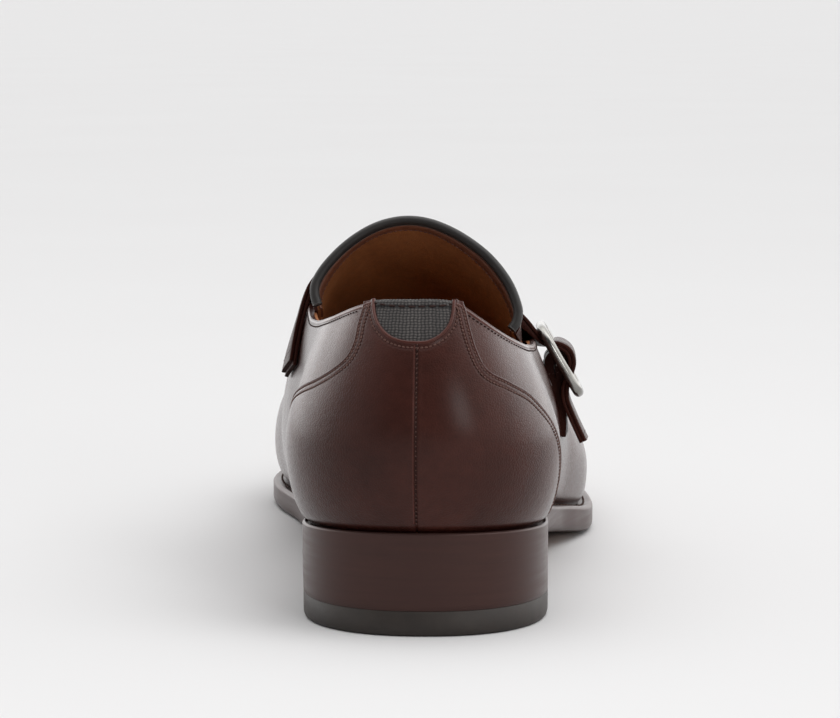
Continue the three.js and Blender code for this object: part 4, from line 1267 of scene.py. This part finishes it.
def makeBuckle():
    angle = np.linspace(0, 2 * np.pi, 160, endpoint=False)
    down, across = (size / 2 * np.sign(f) * np.abs(f) ** (2 / buckle["squareness"])
                    for size, f in ((buckle["length"], np.cos(angle)), (buckle["width"], np.sin(angle))))
    line = onBuckle(down, across, 0)
    line = blurred(resampled(np.concatenate([line, line[:1]]), 181)[:-1], 1.2, True)
    out = unit(onBuckle(0, 0, 1) - onBuckle(0, 0, 0))
    side = unit(np.cross(unit(np.roll(line, -1, 0) - np.roll(line, 1, 0)), out))
    ring = circle(buckle["wire"], 22)
    loops = line[:, None] + side[:, None] * ring[None, :, :1] + out * ring[None, :, 1:]
    makePiece("buckleRing", loopSolid(loops, True), "nickel", ["buckle_frame"], sharp=0)
    end = buckle["width"] / 2 - 0.3
    path = onBuckle(0, np.linspace(-end, end, 30), -buckle["barDrop"])
    makePiece("buckleBar", tube(path, np.repeat(out[None], 30, 0), buckle["bar"], 20), "nickel", sharp=40)
    path = smoothLine([onBuckle(*k) for k in prong["knots"]], 0.4)
    taper = 1 - 0.25 * np.linspace(0, 1, len(path))
    ends = np.sqrt(np.clip(1 - np.clip(1 - np.arange(len(path))[::-1] / 2.2, 0, 1) ** 2, 0.02, 1))
    shank = swept(path, np.repeat(out[None], len(path), 0), circle(prong["radius"], 16), taper * ends)
    makePiece("buckleProng", loopSolid(shank), "nickel", ["buckle_prong"], sharp=40)
    angles = np.linspace(0, 2 * np.pi, 40, endpoint=False)
    r = buckle["bar"] + prong["eyeGap"]
    eye = onBuckle(r * np.cos(angles), 0, -buckle["barDrop"] + r * np.sin(angles))
    radial = unit(eye - onBuckle(0, 0, -buckle["barDrop"]))
    section = np.array(prong["eye"])
    loops = eye[:, None] + np.array([0, 1, 0]) * section[None, :, :1] + radial[:, None] * section[None, :, 1:]
    makePiece("prongEye", loopSolid(loops, True), "nickel", sharp=40)


# height and distance from the quarter of both legs, and angle and radius of the turn round the bar
tab = {"inner": [(38, 0.35), (44, 0.45), (50, 0.7), (55, 1.0), (58.4, 1.2)],
       "turn": [(195, 3.0), (172, 2.8), (148, 2.5), (115, 2.2), (80, 2.15), (40, 2.2), (0, 2.2), (-35, 2.3),
                (-60, 2.6)],
       "outer": [(58.4, 4.0), (55, 3.15), (50, 2.1), (44, 1.5), (38, 0.95)], "thick": (0.3, 0.85),
       "rows": 130, "columns": 27, "slot": (52, 88), "pads": [(0.75, 56, 9.0), (0.5, 91, 8.0)]}


def makeTab():
    half, count = buckle["tabWidth"] / 2, tab["rows"]
    rows = []
    for c in np.linspace(-half, half, tab["columns"]):
        station = np.full(1, stationAt(strap["y"] + c))

        def leg(knots):
            for z, out in knots:
                place, normal = onSide("lateral", station, levelAtHeight("lateral", station, z))
                yield (place[0] + normal[0] * out).reshape(3)

        bar = onBuckle(0, c, -buckle["barDrop"])
        turn = [bar + r * np.array([math.cos(math.radians(a)), 0, math.sin(math.radians(a))]) for a, r in tab["turn"]]
        rows.append(resampled(smoothLine([*leg(tab["inner"]), *turn, *leg(tab["outer"])], 0.4), count))
    path = np.stack(rows, 1)
    normal = -gridNormals(path)
    low, high = tab["thick"]
    thick = (low + (high - low) * np.clip((path[..., 2] - 38) / 16, 0, 1))[..., None]
    for pad, row, width in tab["pads"]:  # where it turns round the bar, and where its legs are sewn together
        thick = thick + (pad * hump(np.arange(count), row, width))[:, None, None]
    first, past = tab["slot"]  # rows between which the prong passes
    parts = {"Rear": (slice(0, count), slice(0, 12)), "Front": (slice(0, count), slice(15, 27)),
             "Low": (slice(0, first), slice(11, 16)), "High": (slice(past, count), slice(11, 16))}
    for name, at in parts.items():
        pad = normal[at] * thick[at]
        # the tab is in the darker calf: painted shade
        makePiece("tab" + name, sheetSolid(path[at] + pad, path[at] - pad), "shadedStrapCalf",
                  ["buckle_tab"] if name == "Rear" else ())


makeBuckle()
makeTab()
print("buckle made")


# Stitches: one tree of Geometry Nodes sets them along any line

def stitchTree():
    tree = bpy.data.node_groups.new("stitchRow", "GeometryNodeTree")
    face = tree.interface
    face.new_socket("Line", in_out="INPUT", socket_type="NodeSocketGeometry")
    for name, value in (("Pitch", 0.001), ("Length", 0.0008), ("Thread", 0.0003), ("Lean", 0.0)):
        face.new_socket(name, in_out="INPUT", socket_type="NodeSocketFloat").default_value = value
    face.new_socket("Finish", in_out="INPUT", socket_type="NodeSocketMaterial")
    face.new_socket("Stitches", in_out="OUTPUT", socket_type="NodeSocketGeometry")
    given = addNode(tree, "NodeGroupInput").outputs

    def step(kind, output, inputs=None, **properties):
        return outputOf(tree, kind, output, inputs, **properties)

    curve = step("GeometryNodeMeshToCurve", "Curve", {"Mesh": given["Line"]})
    points = step("GeometryNodeResampleCurve", "Curve", {"Curve": curve, "Length": given["Pitch"]}, mode="LENGTH")
    tangent = step("GeometryNodeInputTangent", "Tangent")
    turn = step("FunctionNodeAlignRotationToVector", "Rotation", {"Vector": tangent}, axis="X")
    lean = step("FunctionNodeAxisAngleToRotation", "Rotation", {"Axis": (0, 0, 1), "Angle": given["Lean"]})
    leaned = step("FunctionNodeRotateRotation", "Rotation", {"Rotation": turn, "Rotate By": lean},
                  rotation_space="LOCAL")
    ball = step("GeometryNodeMeshUVSphere", "Mesh", {"Segments": 8, "Rings": 5, "Radius": 0.5})
    size = step("ShaderNodeCombineXYZ", "Vector", {"X": given["Length"], "Y": given["Thread"], "Z": given["Thread"]})
    thread = step("GeometryNodeTransform", "Geometry", {"Geometry": ball, "Scale": size})
    rows = step("GeometryNodeInstanceOnPoints", "Instances", {"Points": points, "Instance": thread, "Rotation": leaned})
    real = step("GeometryNodeRealizeInstances", "Geometry", {"Geometry": rows})
    soft = step("GeometryNodeSetShadeSmooth", "Geometry", {"Geometry": real})
    done = step("GeometryNodeSetMaterial", "Geometry", {"Geometry": soft, "Material": given["Finish"]})
    addNode(tree, "NodeGroupOutput", {"Stitches": done})
    return tree


stitchNodes = stitchTree()

sewing = {  # pitch, length and thickness in mm, lean as an angle along the row
    "counter": {"finish": "thread", "pitch": 1.08, "length": 0.92, "thread": 0.46},
    "moon": {"finish": "moonThread", "pitch": 1.15, "length": 1.02, "thread": 0.55},
    "topline": {"finish": "darkThread", "pitch": 1.35, "length": 0.95, "thread": 0.46},
    "canvas": {"finish": "darkThread", "pitch": 2.7, "length": 2.1, "thread": 0.6},
    "binding": {"finish": "thread", "pitch": 1.5, "length": 1.1, "thread": 0.32},
    "strap": {"finish": "darkThread", "pitch": 1.4, "length": 1.05, "thread": 0.26},
    "backSeam": {"finish": "darkThread", "pitch": 1.3, "length": 1.4, "thread": 0.4, "lean": 1.0},
    "backReturn": {"finish": "moonThread", "pitch": 1.3, "length": 1.4, "thread": 0.4, "lean": -1.0},
    "tab": {"finish": "thread", "pitch": 1.0, "length": 1.1, "thread": 0.3, "lean": 0.7},
    "welt": {"finish": "weltThread", "pitch": 2.9, "length": 2.3, "thread": 0.75},
}


def sewStitches(name, lines, finish, pitch, length, thread, lean=0.0):
    points, edges = [], []
    for line in lines:
        first = len(points)
        points += [tuple(p) for p in np.asarray(line) * 0.001]
        edges += [(k, k + 1) for k in range(first, len(points) - 1)]
    mesh = bpy.data.meshes.new(name + "Line")
    mesh.from_pydata(points, edges, [])
    row = addObject(name + "Line", mesh)
    modifier = row.modifiers.new("stitches", "NODES")
    modifier.node_group = stitchNodes
    values = {"Pitch": pitch * 0.001, "Length": length * 0.001, "Thread": thread * 0.001, "Lean": lean,
              "Finish": finishes[finish]}
    for item in stitchNodes.interface.items_tree:
        if item.item_type == "SOCKET" and item.in_out == "INPUT" and item.name in values:
            modifier[item.identifier] = values[item.name]
    result = bpy.data.meshes.new_from_object(row.evaluated_get(bpy.context.evaluated_depsgraph_get()))
    bpy.data.objects.remove(row)
    result.name = name
    addPiece(name, result, finish)


def insetLine(curve, distance, out, toward):
    p, n = aroundHeel(curve[:, 0], curve[:, 1])
    inward = unit(np.cross(n, gradientOf(p)))
    flip = np.sign((inward * (toward - p)).sum(-1).mean())
    return p + inward * flip * distance + n * out


def makeStitches():
    centre = aroundHeel(np.full(1, -0.6), np.full(1, 0.35))[0]  # a place low on the back seam
    thick = counter["thickness"]
    for side in signOf:
        seam, moon = counterSeams[side][4:-2], moonEdges[side][:-3]
        rows = [insetLine(seam, d, thick - 0.1, centre) for d in counter["rows"]]
        sewStitches("counterStitches" + side.capitalize(), rows, **sewing["counter"])
        rows = [insetLine(moon, counter["moonRow"], thick - 0.1, centre)]
        sewStitches("moonStitches" + side.capitalize(), rows, **sewing["moon"])
    beside = foldPath + foldInward * (fold["width"] + fold["stitches"])
    line = (beside + foldNormal * 0.02)[foldLift < 0.02]
    sewStitches("toplineStitches", [line[3:-3]], **sewing["topline"])
    index = np.flatnonzero(foldLift > 0.98)
    for letter, part in zip("AB", np.split(index, np.flatnonzero(np.diff(index) > 1) + 1)):
        line = (beside + foldNormal * (thick + 0.02))[part]
        sewStitches("toplineCorner" + letter, [line[1:-1]], **sewing["counter"])
    sewStitches("canvasStitches", [canvasRow[8:-8] + canvasRowNormal[8:-8] * 0.16], **sewing["canvas"])
    sewStitches("bindingStitches", [bindingRow[2:-2]], **sewing["binding"])
    sewStitches("strapStitches", strapStitchLines, **sewing["strap"])
    u = np.linspace(0.03, moonEdges["lateral"][0, 1] - 0.006, 220)
    a = np.full(len(u), moonEdges["lateral"][0, 0])
    for name, way in (("backSeamStitches", "backSeam"), ("backSeamReturn", "backReturn")):
        p, n = aroundHeel(a + 0.05, u)
        sewStitches(name, [p + n * (thick - 0.06)], **sewing[way])
    p, n = aroundHeel(a - 0.62, u)
    # the ridge is in the lighter calf: painted highlight
    makePiece("backSeamRidge", tube(p + n * (thick - 0.12), n, 0.3, 10), "wearAndHighlightCalf")
    edge = strap["y"] - buckle["tabWidth"] / 2 - 0.1
    line = smoothLine([(35.3, edge, 57.4), (37.2, edge, 57.7), (39.0, edge, 58.4)], 0.3)
    sewStitches("tabStitches", [line], **sewing["tab"])
    line = outline(*wholeStations(1.2), 3.0, weltTop, 0.02)
    sewStitches("weltStitches", [line[line[:, 1] > 43]], **sewing["welt"])


makeStitches()


print("stitches made")


# Stage, light and camera

stage = {"floor": 400.0, "tone": 0.78}


def makeStage():
    bpy.ops.mesh.primitive_circle_add(vertices=96, radius=stage["floor"], fill_type="NGON", location=(0, 0, 0))
    floor = bpy.context.object
    floor.name = "floor"
    material, tree, shader, place = newMaterial("paleFloor", **{"Roughness": 0.9, "Specular IOR Level": 0.1})
    tone = stage["tone"]
    tones = [(0.3, (tone, tone * 0.992, tone * 0.994)), (0.7, (tone * 1.012, tone * 1.006, tone * 1.008))]
    feed(shader, "Base Color", ramp(tree, noise(tree, place, 3.0, 3), tones))
    floor.data.materials.append(material)
    floor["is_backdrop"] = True


studio = {"sides": 0.3, "top": 1.75, "beyond": 0.28, "base": 0.12, "view": 0.83, "glossSides": 1.2,
          "glossBeyond": 1.4, "toRight": 0.2}


def makeWorld():
    world = bpy.data.worlds.new("studio")
    bpy.context.scene.world = world
    world.use_nodes = True
    tree = world.node_tree
    tree.nodes.clear()
    direction = outputOf(tree, "ShaderNodeTexCoord", "Generated")
    parts = addNode(tree, "ShaderNodeSeparateXYZ", {"Vector": direction}).outputs
    rays = addNode(tree, "ShaderNodeLightPath").outputs
    top = mapRange(tree, parts["Z"], 0.66, 0.97, 0.0, studio["top"])
    toRight = mapRange(tree, parts["X"], -1, 1, 1 - studio["toRight"], 1 + studio["toRight"])

    def backdrop(strength, colour=(1, 1, 1, 1)):
        return outputOf(tree, "ShaderNodeBackground", 0, {"Color": colour, "Strength": strength})

    def lightOf(sides, beyond):
        side = mapRange(tree, maths(tree, "ABSOLUTE", parts["X"]), 0.35, 0.9, 0.0, sides)
        front = mapRange(tree, parts["Y"], -0.2, 0.6, studio["base"], studio["base"] + beyond)
        return backdrop(maths(tree, "ADD", maths(tree, "ADD", maths(tree, "MULTIPLY", side, toRight), top), front))

    cast = lightOf(studio["sides"], studio["beyond"])
    gloss = lightOf(studio["glossSides"], studio["glossBeyond"])
    light = outputOf(tree, "ShaderNodeMixShader", 0, {0: rays["Is Glossy Ray"], 1: cast, 2: gloss})
    seen = backdrop(studio["view"], (1, 0.992, 0.995, 1))
    mix = outputOf(tree, "ShaderNodeMixShader", 0, {0: rays["Is Camera Ray"], 1: light, 2: seen})
    addNode(tree, "ShaderNodeOutputWorld", {"Surface": mix})


def addLamp(name, kind, place, target, power, **settings):
    data = bpy.data.lights.new(name, kind)
    data.energy = power
    for key, value in settings.items():
        setattr(data, key, value)
    lamp = addObject(name, data)
    lamp.location = place
    lamp.rotation_euler = (Vector(target) - Vector(place)).to_track_quat("-Z", "Y").to_euler()


lens = {"focal": 129.3943, "height": 0.1728, "pitch": 0.12067, "yaw": 0.03776, "x": 0.03042, "back": 0.8}


def makeCamera():
    data = bpy.data.cameras.new("camera")
    data.sensor_width = 36.0
    data.lens = lens["focal"]
    data.clip_start, data.clip_end = 0.01, 1000
    camera = addObject("camera", data)
    camera.location = (lens["x"], -sole["heelReach"] * 0.001 - lens["back"], lens["height"])
    camera.rotation_euler = (math.pi / 2 - lens["pitch"], 0, lens["yaw"])
    bpy.context.scene.camera = camera


makeStage()
makeWorld()
addLamp("window", "SUN", (1.0, -0.3, 1.25), (0, 0, 0), 0.5, angle=math.radians(36))
addLamp("overhead", "AREA", (0.25, -0.1, 1.25), (0, 0, 0), 1.8, shape="RECTANGLE", size=0.7, size_y=0.7)
addLamp("nearWindow", "AREA", (0.9, -1.55, 0.55), (0, 0, 0.05), 4.4, shape="RECTANGLE", size=0.42, size_y=0.55)
makeCamera()
bpy.context.scene.view_settings.view_transform = "Standard"

bpy.context.view_layer.update()
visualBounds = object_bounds()
print("size:", [[round(c, 4) for c in v] for v in (*cadBounds, *visualBounds)])
